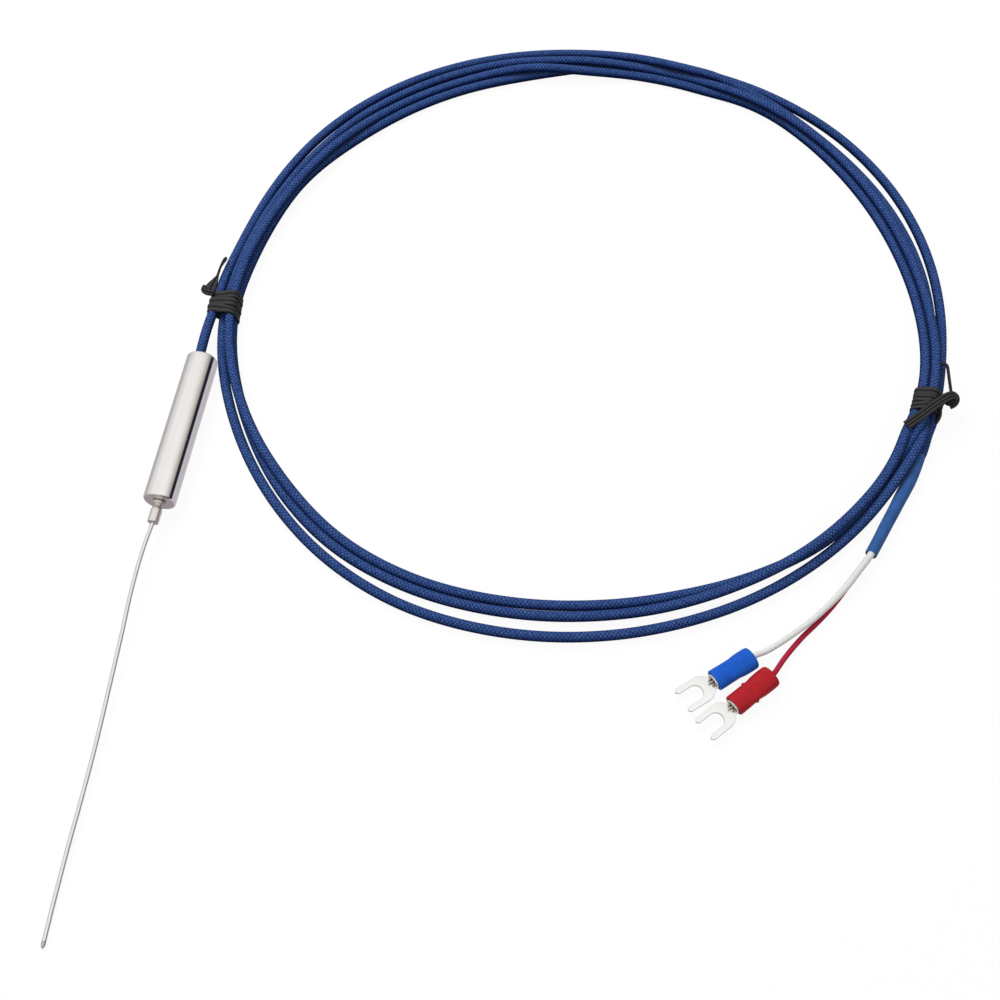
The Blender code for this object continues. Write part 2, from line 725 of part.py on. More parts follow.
def build_terminal_sleeve(colour):
    start, direction = terminal_frame(colour)
    length = terminal_length(colour)
    rear = SLEEVE_REAR_DIAMETER / 2
    front = SLEEVE_FRONT_DIAMETER / 2
    bore = CRIMP_DIAMETER / 2 + 3 * RADIAL_CLEARANCE
    entry = SLEEVE_ENTRY_DIAMETER / 2
    profile = [
        (front - 0.15, length),
        (front, length - 0.2),
        (front, length * 0.76),
        (SLEEVE_WAIST_DIAMETER / 2, length * 0.60),
        (SLEEVE_WAIST_DIAMETER / 2, length * 0.46),
        (rear, length * 0.30),
        (rear, 0.9),
        (rear - 0.25, 0.35),
        (rear - 0.8, 0.0),
        (entry, 0.0),
        (entry, CRIMP_START - 1.0),
        (bore, CRIMP_START - FACE_GAP),
        (bore, length),
    ]
    name = colour + "_terminal_sleeve"
    sleeve = turned_along(name, profile, True, 28, start, direction, TERMINAL_FLATNESS)
    finish_piece(sleeve, name)


def fork_outline(root, web, tip):
    """Outline of the tongue and its two prongs, mirrored about the middle line."""
    neck = TONGUE_NECK_WIDTH / 2
    outer = FORK_WIDTH / 2
    slot = FORK_SLOT_WIDTH / 2
    floor = tip - FORK_SLOT_DEPTH + slot
    half = [(neck, root), (neck, web), (outer - 0.7, web + 0.9), (outer, web + 2.0)]
    half += [(outer, tip - FORK_TIP_CHAMFER), (outer - FORK_TIP_CHAMFER, tip), (slot + 0.25, tip)]
    half += [(slot, tip - 0.6), (slot, floor)]
    half += [(slot * math.cos(a), floor - slot * math.sin(a)) for a in (math.pi * k / 12 for k in range(1, 6))]
    left = [(-x, y) for x, y in reversed(half)]
    return half + [(0.0, floor - slot)] + left


def build_fork(colour):
    start, direction = terminal_frame(colour)
    length = terminal_length(colour)
    name = colour + "_fork_terminal"
    crimp_end = length - CRIMP_RECESS
    radius = CRIMP_DIAMETER / 2
    profile = [
        (radius, crimp_end),
        (radius, CRIMP_START),
        (CRIMP_BORE / 2, CRIMP_START),
        (CRIMP_BORE / 2, crimp_end),
    ]
    crimp = turned_along(name, profile, True, 24, start, direction, TERMINAL_FLATNESS)
    outline = fork_outline(crimp_end - 0.8, length + 0.5, length + FORK_LENGTH)
    side = Vector((0.0, 0.0, 1.0)).cross(direction)
    matrix = Matrix((side, direction, side.cross(direction))).transposed().to_4x4()
    matrix.translation = (start - Vector((0.0, 0.0, TONGUE_DROP))) * MM
    tongue = slab(name + "_tongue", [outline], TONGUE_THICKNESS, matrix)
    cut(crimp, as_cutter(tongue), "UNION")
    finish_piece(crimp, name)


def build_conductor(name, colour):
    start, direction = terminal_frame(colour)
    first = start + direction * CRIMP_START
    route = [first + direction * (CONDUCTOR_LENGTH * k / 2) for k in range(3)]
    finish_piece(tube(name, route, CONDUCTOR_DIAMETER, 2), name)


def build_all():
    build_sheath()
    build_thermoelements(build_insulation())
    build_ferrule()
    build_barrel()
    build_potting()
    build_splices()
    build_plug()
    build_cord()
    build_coil()
    build_ties()
    build_leads(*build_shrink())
    for colour, conductor in (("blue", "white_conductor"), ("red", "red_conductor")):
        build_terminal_sleeve(colour)
        build_fork(colour)
        build_conductor(conductor, colour)


build_all()
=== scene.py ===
"""Look of the thermocouple probe: braided cord, ties, terminals, polished metal, studio and camera."""

import math

import bmesh
import bpy
import numpy as np
from mathutils import Matrix, Vector


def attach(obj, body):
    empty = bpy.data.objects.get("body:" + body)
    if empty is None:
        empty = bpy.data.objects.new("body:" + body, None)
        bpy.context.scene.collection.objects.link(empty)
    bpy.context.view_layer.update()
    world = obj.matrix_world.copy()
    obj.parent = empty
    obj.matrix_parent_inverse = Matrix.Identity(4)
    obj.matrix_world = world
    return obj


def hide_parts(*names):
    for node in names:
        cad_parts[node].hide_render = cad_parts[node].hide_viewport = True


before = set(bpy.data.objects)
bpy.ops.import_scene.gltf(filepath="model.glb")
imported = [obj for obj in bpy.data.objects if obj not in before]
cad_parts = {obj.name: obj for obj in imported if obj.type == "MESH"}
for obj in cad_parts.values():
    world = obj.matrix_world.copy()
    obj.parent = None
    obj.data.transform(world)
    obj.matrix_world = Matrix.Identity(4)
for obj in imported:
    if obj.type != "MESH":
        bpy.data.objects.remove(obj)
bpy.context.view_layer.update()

MM = 0.001
BARREL_REAR = 73.5
BARREL_FRONT = 31.7
AXIS_Z = 4.0

# Cord, and the middle of its coil
CORD_D = 2.55
CORD_R = CORD_D / 2
COIL_X = 93.0
COIL_Y = 106.0

# Height of the cord's middle line where it lies on the floor
LOW = 1.28

# Middle line of the cord from the barrel to the coil
LEAD_ROUTE = [
    (-1.0, 70.9, 4.0), (-1.0, 73.5, 4.0), (-1.2, 76.0, 4.0), (-1.4, 80.0, 3.95), (-1.5, 83.2, 3.85),
    (-1.4, 86.0, 3.75),
]

# Each turn of the coil, clockwise: angle from +X, radius, height of the middle line
TURNS = [
    [(190, 95.95, 3.7), (185, 94.18, 3.3), (181, 93.44, 2.4), (175, 92.88, 1.5), (167, 92.74, LOW),
     (160, 92.89, LOW), (150, 93.3, LOW), (140, 93.14, LOW), (130, 92.75, LOW), (120, 92.2, LOW),
     (110, 91.61, LOW), (103, 91.0, 1.5), (97, 90.1, 2.2), (90, 88.9, 3.4), (84, 88.35, 3.83),
     (78, 88.0, 3.83), (72, 88.5, 3.2), (66, 90.3, 2), (60, 91.07, 1.4), (50, 90.45, LOW),
     (40, 91.11, LOW), (30, 91.86, LOW), (20, 92.19, LOW), (10, 92, LOW), (-2, 91.6, LOW),
     (-9, 91.55, LOW), (-14, 91.75, 2.2), (-18, 92.2, 3.8), (-20, 92.35, 4.15), (-22, 92.3, 4.0),
     (-25, 92.1, 3.2), (-31, 91.85, 1.7), (-40, 91.67, LOW), (-50, 91.54, LOW), (-67, 91.7, LOW),
     (-81, 92.6, LOW), (-95, 93.95, LOW), (-109, 95.6, LOW),
     (-123, 95.9, LOW), (-137, 95.15, LOW), (-151, 94.3, LOW), (-165, 93.9, LOW)],
    [(190, 93.3, 1.9), (181, 90.92, 3.2), (174, 90.04, 2.2), (167, 89.52, 1.4), (160, 90, LOW),
     (150, 90.05, LOW), (140, 90.15, LOW), (130, 89.55, 1.4), (120, 89.2, 1.7), (110, 88.1, 2.6),
     (103, 86.4, 3.3), (97, 85.8, 3.6), (90, 85.65, 3.6), (84, 87, 2.2), (78, 87.69, 1.4), (72, 87.52, 2.2),
     (66, 87.41, 3.2), (60, 88.2, 3.4), (50, 88.8, 3.45), (40, 89.0, 3.0), (30, 89.2, 2.7),
     (20, 89.75, 2.75), (8, 91.0, 3.0), (-2, 92.3, 3.4), (-9, 92.8, 3.5), (-15, 92.0, 3.5),
     (-22, 90.7, 1.5), (-30, 90.3, LOW), (-36, 89.85, LOW), (-43, 88.8, LOW), (-50, 87.25, LOW),
     (-57, 86.03, LOW), (-67, 84.6, LOW), (-81, 84.6, LOW), (-95, 86, LOW), (-109, 88.3, LOW),
     (-123, 90.1, LOW), (-137, 90.7, 2.4), (-144, 91.1, 3.6), (-151, 91.35, 3.8), (-165, 91.7, 3.8)],
    [(190, 91.5, 3.83), (181, 90, 3.7), (174, 88.68, 3.8), (167, 87.58, 3.5), (160, 86.91, 3.4),
     (150, 86.2, 3.6), (140, 86.1, 2.4), (130, 86.45, 1.35), (120, 86.05, 1.4), (115, 85.4, 2.1),
     (110, 84.75, 3.1), (105, 83.5, 3.75), (100, 82.7, 3.3), (95, 82.95, 2.4), (90, 84.2, 1.7),
     (84, 85.1, LOW), (78, 85.5, LOW), (72, 86.49, LOW), (66, 87.74, LOW), (60, 88.26, LOW),
     (50, 87.6, LOW), (40, 87.4, LOW),
     (30, 87.65, LOW), (20, 88.15, 1.4), (10, 89.0, 1.8), (-2, 90, 3.1), (-9, 90.35, 3.45), (-15, 90.2, 3.3),
     (-22, 89.89, 3), (-30, 89.28, 3.4), (-36, 88.9, 3.7), (-43, 88.73, 3.83), (-50, 88.25, 3.83),
     (-57, 87.69, 3.5), (-67, 87.2, 1.9), (-81, 87.4, LOW), (-95, 88.8, LOW), (-109, 90.9, LOW),
     (-123, 92.65, LOW), (-137, 92, LOW), (-151, 91.35, LOW), (-165, 91.4, LOW)],
    [(190, 91.2, LOW), (186, 91.14, LOW), (181, 89.63, LOW), (175, 88.85, LOW), (167, 88.41, LOW),
     (160, 87.55, LOW), (155, 86.65, LOW), (150, 85.45, LOW), (145, 84.64, LOW), (140, 84.13, LOW),
     (130, 83.45, LOW), (120, 83.2, LOW), (113, 83.1, LOW), (107, 83.35, LOW), (101, 84.2, LOW),
     (95, 86.1, LOW), (89, 88.4, LOW), (83, 90.15, LOW), (77.5, 91.2, LOW), (71, 92.1, LOW), (66, 93.1, LOW),
     (60, 93.88, LOW), (48, 95.5, LOW), (34, 96.1, LOW), (20, 95.65, LOW), (10, 94.9, LOW),
     (2, 94.3, LOW), (-4, 94.1, LOW), (-9, 94.1, LOW), (-14, 94.3, 1.35)],
]

# Middle line of the cord's end, which lies inside the heat-shrink sleeve
TAIL_ROUTE = [
    (183.2, 77.5, 1.5), (182.5, 75.3, 1.66), (181.0, 70.6, 1.66), (179.2, 65.9, 1.66), (178.5, 64.0, 1.66),
]
SHRINK_START = (182.9, 75.2, 1.66)
SHRINK_END = (171.4, 46.1, 1.66)

# Leads between the sleeve and the terminals, and how far each lies above or below the sleeve's middle
WHITE_ROUTE = [
    (168.5, 40.9, 2.3), (166.2, 36.9, 2.2), (163.85, 33.45, 2.15), (161.5, 30.3, 2.1), (158.9, 27.1, 2.1),
    (156.25, 24.3, 2.1), (153.6, 21.7, 2.1), (151.0, 19.3, 2.1), (148.5, 17.2, 2.1),
]
RED_ROUTE = [
    (168.8, 41.6, 0.8), (166.5, 37.3, 0.68), (164.3, 33.4, 0.68), (161.9, 29.6, 0.68), (159.3, 26.0, 0.68),
    (156.9, 22.9, 0.7), (154.5, 19.3, 0.8), (152.8, 16.4, 1.1), (151.6, 14.0, 1.6),
]
LEAD_STACK = 0.69

# Terminals: rear and front end of each insulating sleeve
TERMINAL_Z = 2.1
BLUE_REAR = (145.4, 15.2)
BLUE_FRONT = (137.25, 8.0)
RED_REAR = (150.15, 11.5)
RED_FRONT = (142.1, 2.65)

# Ties: where they sit on the coil, how far they lift it off the floor, and the strip's sizes
LEFT_TIE_ANGLE = 189.3
RIGHT_TIE_ANGLE = -10.0
TIE_LIFT = 0.42
TIE_REACH = 3.6
STRIP_THICKNESS = 0.42
STRIP_RIBS = 3
RIB_STEPS = 6


# Node helpers
def new_material(name):
    look = bpy.data.materials.new(name)
    look.use_nodes = True
    tree = look.node_tree
    return look, tree, tree.nodes["Principled BSDF"]


def node(tree, kind, **values):
    item = tree.nodes.new(kind)
    for key, value in values.items():
        setattr(item, key, value)
    return item


def set_inputs(item, **values):
    """Values of inputs by name, with _ for each space."""
    for key, value in values.items():
        item.inputs[key.replace("_", " ")].default_value = value


def feed(tree, target, value):
    if isinstance(value, (int, float, tuple)):
        target.default_value = value
    else:
        tree.links.new(value, target)


def parts_of(tree, vector):
    """The X, Y and Z of a vector."""
    split = node(tree, "ShaderNodeSeparateXYZ")
    tree.links.new(vector, split.inputs[0])
    return split.outputs


def normal_parts(tree):
    return parts_of(tree, node(tree, "ShaderNodeNewGeometry").outputs["Normal"])


def uv_parts(tree):
    return parts_of(tree, node(tree, "ShaderNodeUVMap", uv_map="UVMap").outputs["UV"])


def maths(tree, operation, first, second=0.0, third=None, clamp=False):
    item = node(tree, "ShaderNodeMath", operation=operation, use_clamp=clamp)
    feed(tree, item.inputs[0], first)
    feed(tree, item.inputs[1], second)
    if third is not None:
        feed(tree, item.inputs[2], third)
    return item.outputs[0]


def choose(tree, factor, first, second):
    item = node(tree, "ShaderNodeMix", data_type="FLOAT")
    feed(tree, item.inputs[0], factor)
    feed(tree, item.inputs[2], first)
    feed(tree, item.inputs[3], second)
    return item.outputs[0]


def blend_colours(tree, factor, first, second, mode="MIX"):
    item = node(tree, "ShaderNodeMix", data_type="RGBA", blend_type=mode)
    feed(tree, item.inputs[0], factor)
    feed(tree, item.inputs[6], first if not isinstance(first, tuple) else (*first, 1.0))
    feed(tree, item.inputs[7], second if not isinstance(second, tuple) else (*second, 1.0))
    return item.outputs[2]


def noise(tree, scale, detail=3.0, roughness=0.5, vector=None):
    item = node(tree, "ShaderNodeTexNoise")
    set_inputs(item, Scale=scale, Detail=detail, Roughness=roughness)
    if vector is None:
        vector = node(tree, "ShaderNodeTexCoord").outputs["Object"]
    tree.links.new(vector, item.inputs["Vector"])
    return item.outputs["Fac"]


def stretch(tree, vector, scale):
    item = node(tree, "ShaderNodeMapping")
    set_inputs(item, Scale=scale)
    tree.links.new(vector, item.inputs["Vector"])
    return item.outputs["Vector"]


def ramp(tree, factor, stops):
    item = node(tree, "ShaderNodeValToRGB")
    elements = item.color_ramp.elements
    while len(elements) < len(stops):
        elements.new(0.5)
    for element, (place, colour) in zip(elements, stops):
        element.position = place
        element.color = (*colour, 1.0) if isinstance(colour, tuple) else (colour, colour, colour, 1.0)
    tree.links.new(factor, item.inputs["Fac"])
    return item.outputs["Color"]


def bump(tree, shader, height, strength, distance):
    item = node(tree, "ShaderNodeBump")
    set_inputs(item, Strength=strength, Distance=distance)
    tree.links.new(height, item.inputs["Height"])
    tree.links.new(item.outputs["Normal"], shader.inputs["Normal"])


def toned(tree, shader, colour, value):
    """Base colour made lighter or darker by a value."""
    tone = node(tree, "ShaderNodeHueSaturation")
    tree.links.new(value, tone.inputs["Value"])
    tree.links.new(colour, tone.inputs["Color"])
    tree.links.new(tone.outputs["Color"], shader.inputs["Base Color"])


# Materials
def upright(tree, stops):
    """Painted light and shade: colour that follows how far a surface looks up, from level (0) to straight up
    (1).
    """
    return ramp(tree, normal_parts(tree)[2], stops)


# Braid: yarns each way round the cord, millimetres from one to the next, and the wave of a yarn's threads
BRAID_CARRIERS = 6.0
BRAID_PITCH = 1.0
BRAID_THREADS = 18.8


def braid_material(name, base, painted_highlight, gap):
    """Two crossing sets of flat yarns, with a painted highlight on their crowns, painted shade in the gaps
    between them and painted shade on surfaces that look sideways or down. U runs along the cord in
    millimetres, V once round it.
    """
    look, tree, shader = new_material(name)

    def sine(value, rate):
        return maths(tree, "SINE", maths(tree, "MULTIPLY", value, rate))

    spot = uv_parts(tree)
    along = maths(tree, "DIVIDE", spot[0], BRAID_PITCH)
    around = maths(tree, "MULTIPLY", spot[1], BRAID_CARRIERS)
    yarns = [maths(tree, way, along, around) for way in ("ADD", "SUBTRACT")]
    cells = maths(tree, "ADD", *[maths(tree, "FLOOR", yarn) for yarn in yarns])
    over = maths(tree, "FLOORED_MODULO", cells, 2.0)
    crests = [sine(maths(tree, "PINGPONG", yarn, 0.5), math.pi) for yarn in yarns]
    threads = choose(tree, over, *[sine(maths(tree, "FRACT", yarn), BRAID_THREADS) for yarn in yarns])
    top = maths(tree, "MULTIPLY", choose(tree, over, *crests), 0.45)
    height = maths(tree, "MULTIPLY_ADD", maths(tree, "MULTIPLY", *crests), 0.45, top)
    cloud = noise(tree, 900.0, 3.0, 0.6)
    fleck = noise(tree, 2300.0, 2.0, 0.7)
    shade = maths(tree, "ADD", height, maths(tree, "MULTIPLY", maths(tree, "SUBTRACT", fleck, 0.5), 1.5))
    # Painted highlight on the yarn crowns and painted shade in the gaps between yarns, following the yarns'
    # height.
    colour = ramp(tree, shade, [(0.0, gap), (0.34, base), (0.62, base), (1.0, painted_highlight)])
    # Painted shade on surfaces that look sideways or down, standing for the shade in the crevices between
    # turns.
    light = upright(tree, [
        (0.0, (0.01, 0.08, 0.18)), (0.35, (0.18, 0.32, 0.50)), (0.72, (0.82, 0.86, 0.92)), (1.0, 1.0)])
    with_painted_shade = blend_colours(tree, 1.0, colour, light, "MULTIPLY")
    toned(tree, shader, with_painted_shade, maths(tree, "MULTIPLY_ADD", cloud, 1.0, 0.62))
    relief = maths(tree, "ADD", height, maths(tree, "MULTIPLY", threads, 0.10))
    bump(tree, shader, relief, 0.5, 0.00025)
    set_inputs(shader, Roughness=0.62, Specular_IOR_Level=0.03)
    return look


def metal_material(name, colour, rough, grain, relief, painted_front_shade=None, spread=0.14):
    """Grained metal. A darker colour of painted shade goes on what looks forwards, along -Y."""
    look, tree, shader = new_material(name)
    coords = node(tree, "ShaderNodeTexCoord").outputs["Object"]
    lines = noise(tree, 60.0, 4.0, 0.6, stretch(tree, coords, grain))
    cloud = noise(tree, 220.0, 3.0, 0.5)
    darker = tuple(c * 0.9 for c in colour)
    mixed = blend_colours(tree, maths(tree, "MULTIPLY", cloud, 0.8, clamp=True), colour, darker)
    dull = maths(tree, "MULTIPLY_ADD", lines, spread, rough - spread * 0.4, clamp=True)
    if painted_front_shade is not None:
        # Painted shade: surfaces that look forwards take the darker colour.
        front = maths(tree, "LESS_THAN", normal_parts(tree)[1], -0.8)
        mixed = blend_colours(tree, front, mixed, painted_front_shade)
        dull = maths(tree, "MULTIPLY_ADD", front, 0.16, dull)
    tree.links.new(mixed, shader.inputs["Base Color"])
    tree.links.new(dull, shader.inputs["Roughness"])
    bump(tree, shader, lines, relief, 0.00004)
    set_inputs(shader, Metallic=1.0)
    return look


def plastic_material(name, colour, rough, mottled=0.18, scale=700.0, coat=0.0, relief=0.04, glow=0.0):
    look, tree, shader = new_material(name)
    cloud = noise(tree, scale, 4.0, 0.55)
    fine = noise(tree, scale * 7.0, 2.0, 0.5)
    light = tuple(min(1.0, c * (1.0 + mottled)) for c in colour)
    dark = tuple(c * (1.0 - mottled) for c in colour)
    tree.links.new(ramp(tree, cloud, [(0.3, dark), (0.7, light)]), shader.inputs["Base Color"])
    spread = maths(tree, "MULTIPLY_ADD", fine, 0.16, rough - 0.08, clamp=True)
    tree.links.new(spread, shader.inputs["Roughness"])
    bump(tree, shader, maths(tree, "ADD", cloud, maths(tree, "MULTIPLY", fine, 0.3)), relief, 0.0002)
    set_inputs(shader, Coat_Weight=coat, Coat_Roughness=0.2, Specular_IOR_Level=0.14)
    if glow:
        set_inputs(shader, Subsurface_Weight=glow, Subsurface_Radius=(1.0, 1.0, 1.0), Subsurface_Scale=0.0006)
    return look


def ridged_material(name, groove, ridge):
    """Ridged strip, whose V counts its ridges, with painted shade in its grooves and painted light and shade
    by how far a surface looks up.
    """
    look, tree, shader = new_material(name)
    crest = maths(tree, "PINGPONG", uv_parts(tree)[1], 0.5)
    cloud = noise(tree, 1500.0, 4.0, 0.6)
    # Painted shade: the groove colour darkens the bottoms of the grooves between ridges.
    shade = maths(tree, "MULTIPLY_ADD", maths(tree, "SUBTRACT", cloud, 0.5), 0.25, crest)
    # Painted light and shade by how far a surface looks up.
    light = upright(tree, [(0.0, 0.35), (0.4, 0.75), (1.0, 1.15)])
    toned(tree, shader, ramp(tree, shade, [(0.06, groove), (0.22, ridge), (1.0, ridge)]), light)
    bump(tree, shader, cloud, 0.15, 0.0002)
    set_inputs(shader, Roughness=0.5, Specular_IOR_Level=0.12)
    return look


# The cord's second colour is a painted highlight for the yarn crowns, its third painted shade for the gaps
# between yarns.
CORD_LOOK = braid_material("cord_braid", (0.029, 0.068, 0.218), (0.088, 0.142, 0.325), (0.003, 0.014, 0.075))
# The barrel and the ferrule get a darker colour of painted shade on their forward surfaces.
BARREL_LOOK = metal_material(
    "polished_barrel", (0.93, 0.905, 0.89), 0.12, (1.0, 30.0, 1.0), 0.015, (0.62, 0.57, 0.57), 0.06)
FERRULE_LOOK = metal_material(
    "turned_ferrule", (0.86, 0.82, 0.78), 0.32, (1.0, 40.0, 1.0), 0.05, (0.60, 0.57, 0.54), 0.1)
SHEATH_LOOK = metal_material("drawn_sheath", (0.88, 0.875, 0.865), 0.20, (1.0, 6.0, 1.0), 0.03)
TIP_LOOK = metal_material("weld_bead", (0.60, 0.59, 0.58), 0.34, (1.0, 1.0, 1.0), 0.10)
WIRE_LOOK = metal_material("alloy_wire", (0.50, 0.43, 0.38), 0.30, (1.0, 4.0, 1.0), 0.05)
TIN_LOOK = metal_material("tinned_copper", (1.0, 0.995, 0.975), 0.28, (1.0, 1.0, 1.0), 0.02)
MINERAL_LOOK = plastic_material("packed_mineral", (0.78, 0.78, 0.75), 0.9, 0.08, 3000.0)
RESIN_LOOK = plastic_material("cast_resin", (0.05, 0.048, 0.046), 0.45, 0.2, 600.0)
# The ties' first colour is painted shade for the grooves between their ridges.
TIE_LOOK = ridged_material("tie_strip", (0.003, 0.003, 0.004), (0.039, 0.037, 0.039))
SHRINK_LOOK = plastic_material("shrink_tube", (0.036, 0.110, 0.325), 0.45, 0.14, 500.0, 0.04, 0.12)
WHITE_LOOK = plastic_material("white_insulation", (0.80, 0.80, 0.785), 0.38, 0.03, 800.0, 0.05, 0.05)
RED_LOOK = plastic_material("red_insulation", (0.46, 0.014, 0.05), 0.36, 0.12, 800.0, 0.06, 0.05)
BLUE_VINYL = plastic_material("blue_vinyl", (0.010, 0.110, 0.58), 0.36, 0.12, 500.0, 0.06, 0.10, 0.1)
RED_VINYL = plastic_material("red_vinyl", (0.46, 0.014, 0.022), 0.36, 0.12, 500.0, 0.06, 0.10, 0.1)


# Mesh helpers, all given in millimetres
def link(item):
    bpy.context.scene.collection.objects.link(item)
    return item


def make_object(name, verts, faces, look, uvs=None, sharp=40.0, matrix=None):
    mesh = bpy.data.meshes.new(name)
    points = np.asarray(verts, dtype=float) * MM
    mesh.from_pydata(points.tolist(), [], faces)
    if uvs is not None:
        layer = mesh.uv_layers.new(name="UVMap")
        layer.data.foreach_set("uv", np.asarray(uvs, dtype=np.float32).ravel())
    mesh.materials.append(look)
    shape = bmesh.new()
    shape.from_mesh(mesh)
    bmesh.ops.recalc_face_normals(shape, faces=shape.faces)
    if matrix is not None:
        bmesh.ops.transform(shape, matrix=matrix, verts=shape.verts)
    shape.to_mesh(mesh)
    shape.free()
    mesh.shade_smooth()
    mesh.set_sharp_from_angle(angle=math.radians(sharp))
    return link(bpy.data.objects.new(name, mesh))


def lengths_along(points):
    """How far along its line each point lies."""
    return np.concatenate(([0.0], np.cumsum(np.linalg.norm(np.diff(points, axis=0), axis=1))))


def unit_rows(vectors):
    return vectors / np.linalg.norm(vectors, axis=1)[:, None]


def circle_turn(sides):
    return np.linspace(0.0, 2 * math.pi, sides, endpoint=False)


def skin(name, rings, look, lengths=None, loop=False, sharp=40.0, matrix=None, around=1.0):
    """Surface through a row of equal rings of points. U is the length, V goes round to the given number."""
    rings = np.asarray(rings, dtype=float)
    count, sides = rings.shape[:2]
    if lengths is None:
        lengths = lengths_along(rings.mean(axis=1))
    faces = []
    uvs = []
    for row in range(count if loop else count - 1):
        following = (row + 1) % count
        low, high = lengths[row], lengths[following] if following else lengths[row] + 1.0
        near, far = row * sides, following * sides
        for side in range(sides):
            other = (side + 1) % sides
            faces.append((near + side, near + other, far + other, far + side))
            start, end = side / sides * around, (side + 1) / sides * around
            uvs.extend(((low, start), (low, end), (high, end), (high, start)))
    if not loop:
        for row in (0, count - 1):
            faces.append(tuple(row * sides + side for side in range(sides)))
            uvs.extend((lengths[row], side / sides) for side in range(sides))
    return make_object(name, rings.reshape(-1, 3), faces, look, uvs, sharp, matrix)


def carried_normals(tangents):
    """Directions across a line that turn with it as little as they can, the first as upright as it allows."""
    up = np.array((0.0, 0.0, 1.0))
    up -= tangents[0] * up.dot(tangents[0])
    normals = np.zeros_like(tangents)
    normals[0] = up / np.linalg.norm(up)
    for index in range(1, len(tangents)):
        carried = normals[index - 1] - tangents[index] * normals[index - 1].dot(tangents[index])
        normals[index] = carried / np.linalg.norm(carried)
    return normals


def tube_rings(points, radius, sides):
    points = np.asarray(points, dtype=float)
    tangents = unit_rows(np.gradient(points, axis=0))
    normals = carried_normals(tangents)
    binormals = np.cross(tangents, normals)
    radius = np.broadcast_to(np.asarray(radius, dtype=float), (len(points),))
    turn = circle_turn(sides)[None, :, None]
    ring = normals[:, None, :] * np.cos(turn) + binormals[:, None, :] * np.sin(turn)
    return points[:, None, :] + ring * radius[:, None, None]


def fillet(profile, radius, closed=True):
    """The same outline with its corners rounded."""
    points = [np.array(point, dtype=float) for point in profile]
    count = len(points)
    pieces = 4
    result = []
    for index, corner in enumerate(points):
        if not closed and index in (0, count - 1):
            result.append(corner)
            continue
        before = points[index - 1] - corner
        after = points[(index + 1) % count] - corner
        reach = min(radius, 0.45 * np.linalg.norm(before), 0.45 * np.linalg.norm(after))
        start = corner + before / np.linalg.norm(before) * reach
        end = corner + after / np.linalg.norm(after) * reach
        for step in range(pieces + 1):
            part = step / pieces
            result.append(start * (1 - part) ** 2 + corner * 2 * part * (1 - part) + end * part ** 2)
    return np.array(result)


def lathe(name, profile, look, origin, direction, closed=True, steps=96, sharp=40.0):
    """Profile of (radius, height) turned round a direction."""
    axis = Vector(direction).normalized()
    side = Vector((0.0, 0.0, 1.0)).cross(axis).normalized()
    top = axis.cross(side)
    turn = circle_turn(steps)
    around = np.outer(np.cos(turn), np.array(side)) + np.outer(np.sin(turn), np.array(top))
    rings = []
    for radius, height in profile:
        rings.append(np.array(origin) + np.array(axis) * height + around * max(radius, 1e-4))
    return skin(name, rings, look, loop=closed, sharp=sharp)


def smooth_line(route, spacing):
    """Smooth line through every point of a route."""
    points = [np.array(point, dtype=float) for point in route]
    padded = [2 * points[0] - points[1]] + points + [2 * points[-1] - points[-2]]
    result = [points[0]]
    for index in range(len(points) - 1):
        a, b, c, d = padded[index:index + 4]
        pieces = max(1, int(round(np.linalg.norm(c - b) / spacing)))
        for piece in range(1, pieces + 1):
            t = piece / pieces
            result.append(0.5 * (2 * b + (c - a) * t + (2 * a - 5 * b + 4 * c - d) * t * t
                                 + (3 * b - a - 3 * c + d) * t ** 3))
    return np.array(result)


def even_line(points, spacing):
    """The same line with its points evenly spaced."""
    points = np.asarray(points, dtype=float)
    lengths = lengths_along(points)
    places = np.linspace(0.0, lengths[-1], max(2, int(round(lengths[-1] / spacing)) + 1))
    return np.stack([np.interp(places, lengths, points[:, k]) for k in range(3)], axis=1)


# Route of the cord
def coil_line():
    """The turns of the coil as one line, its radius and height smoothed over a few degrees."""
    knots = []
    for number, turn in enumerate(TURNS):
        knots.extend((angle - 360.0 * number, radius, height) for angle, radius, height in turn)
    knots = np.array(knots)[::-1]
    angles = np.arange(knots[-1, 0], knots[0, 0], -1.0)
    spread, reach = 3.6, 9
    kernel = np.exp(-0.5 * (np.arange(-reach, reach + 1) / spread) ** 2)
    kernel /= kernel.sum()
    rows = [np.interp(angles, knots[:, 0], knots[:, k]) for k in (1, 2)]
    radii, heights = (np.convolve(np.pad(row, reach, mode="edge"), kernel, mode="valid") for row in rows)
    turn = np.radians(angles)
    return np.stack([COIL_X + radii * np.cos(turn), COIL_Y + radii * np.sin(turn), heights], axis=1)


def angles_from(angles, centre):
    """Signed difference from a centre, in degrees."""
    return (angles - centre + 180.0) % 360.0 - 180.0


def tie_lift(points):
    angles = np.degrees(np.arctan2(points[:, 1] - COIL_Y, points[:, 0] - COIL_X))
    lift = np.zeros(len(points))
    for centre in (LEFT_TIE_ANGLE, RIGHT_TIE_ANGLE):
        lift += TIE_LIFT * np.exp(-0.5 * (angles_from(angles, centre) / TIE_REACH) ** 2)
    return lift


# The cord's ends stay where they are: so many points of its line at the barrel and at the sleeve
CORD_SPACING = 2.4
PINNED_START = 5
PINNED_END = 9


def touching_pairs(points):
    """Pairs of points on different stretches of the cord that are near enough to meet."""
    index = np.arange(len(points))
    apart = np.abs(index[:, None] - index[None, :]) > 6
    between = points[:, None, :] - points[None, :, :]
    near = apart & ((between ** 2).sum(axis=2) < (CORD_D * 1.9) ** 2)
    return np.argwhere(np.triu(near)).T


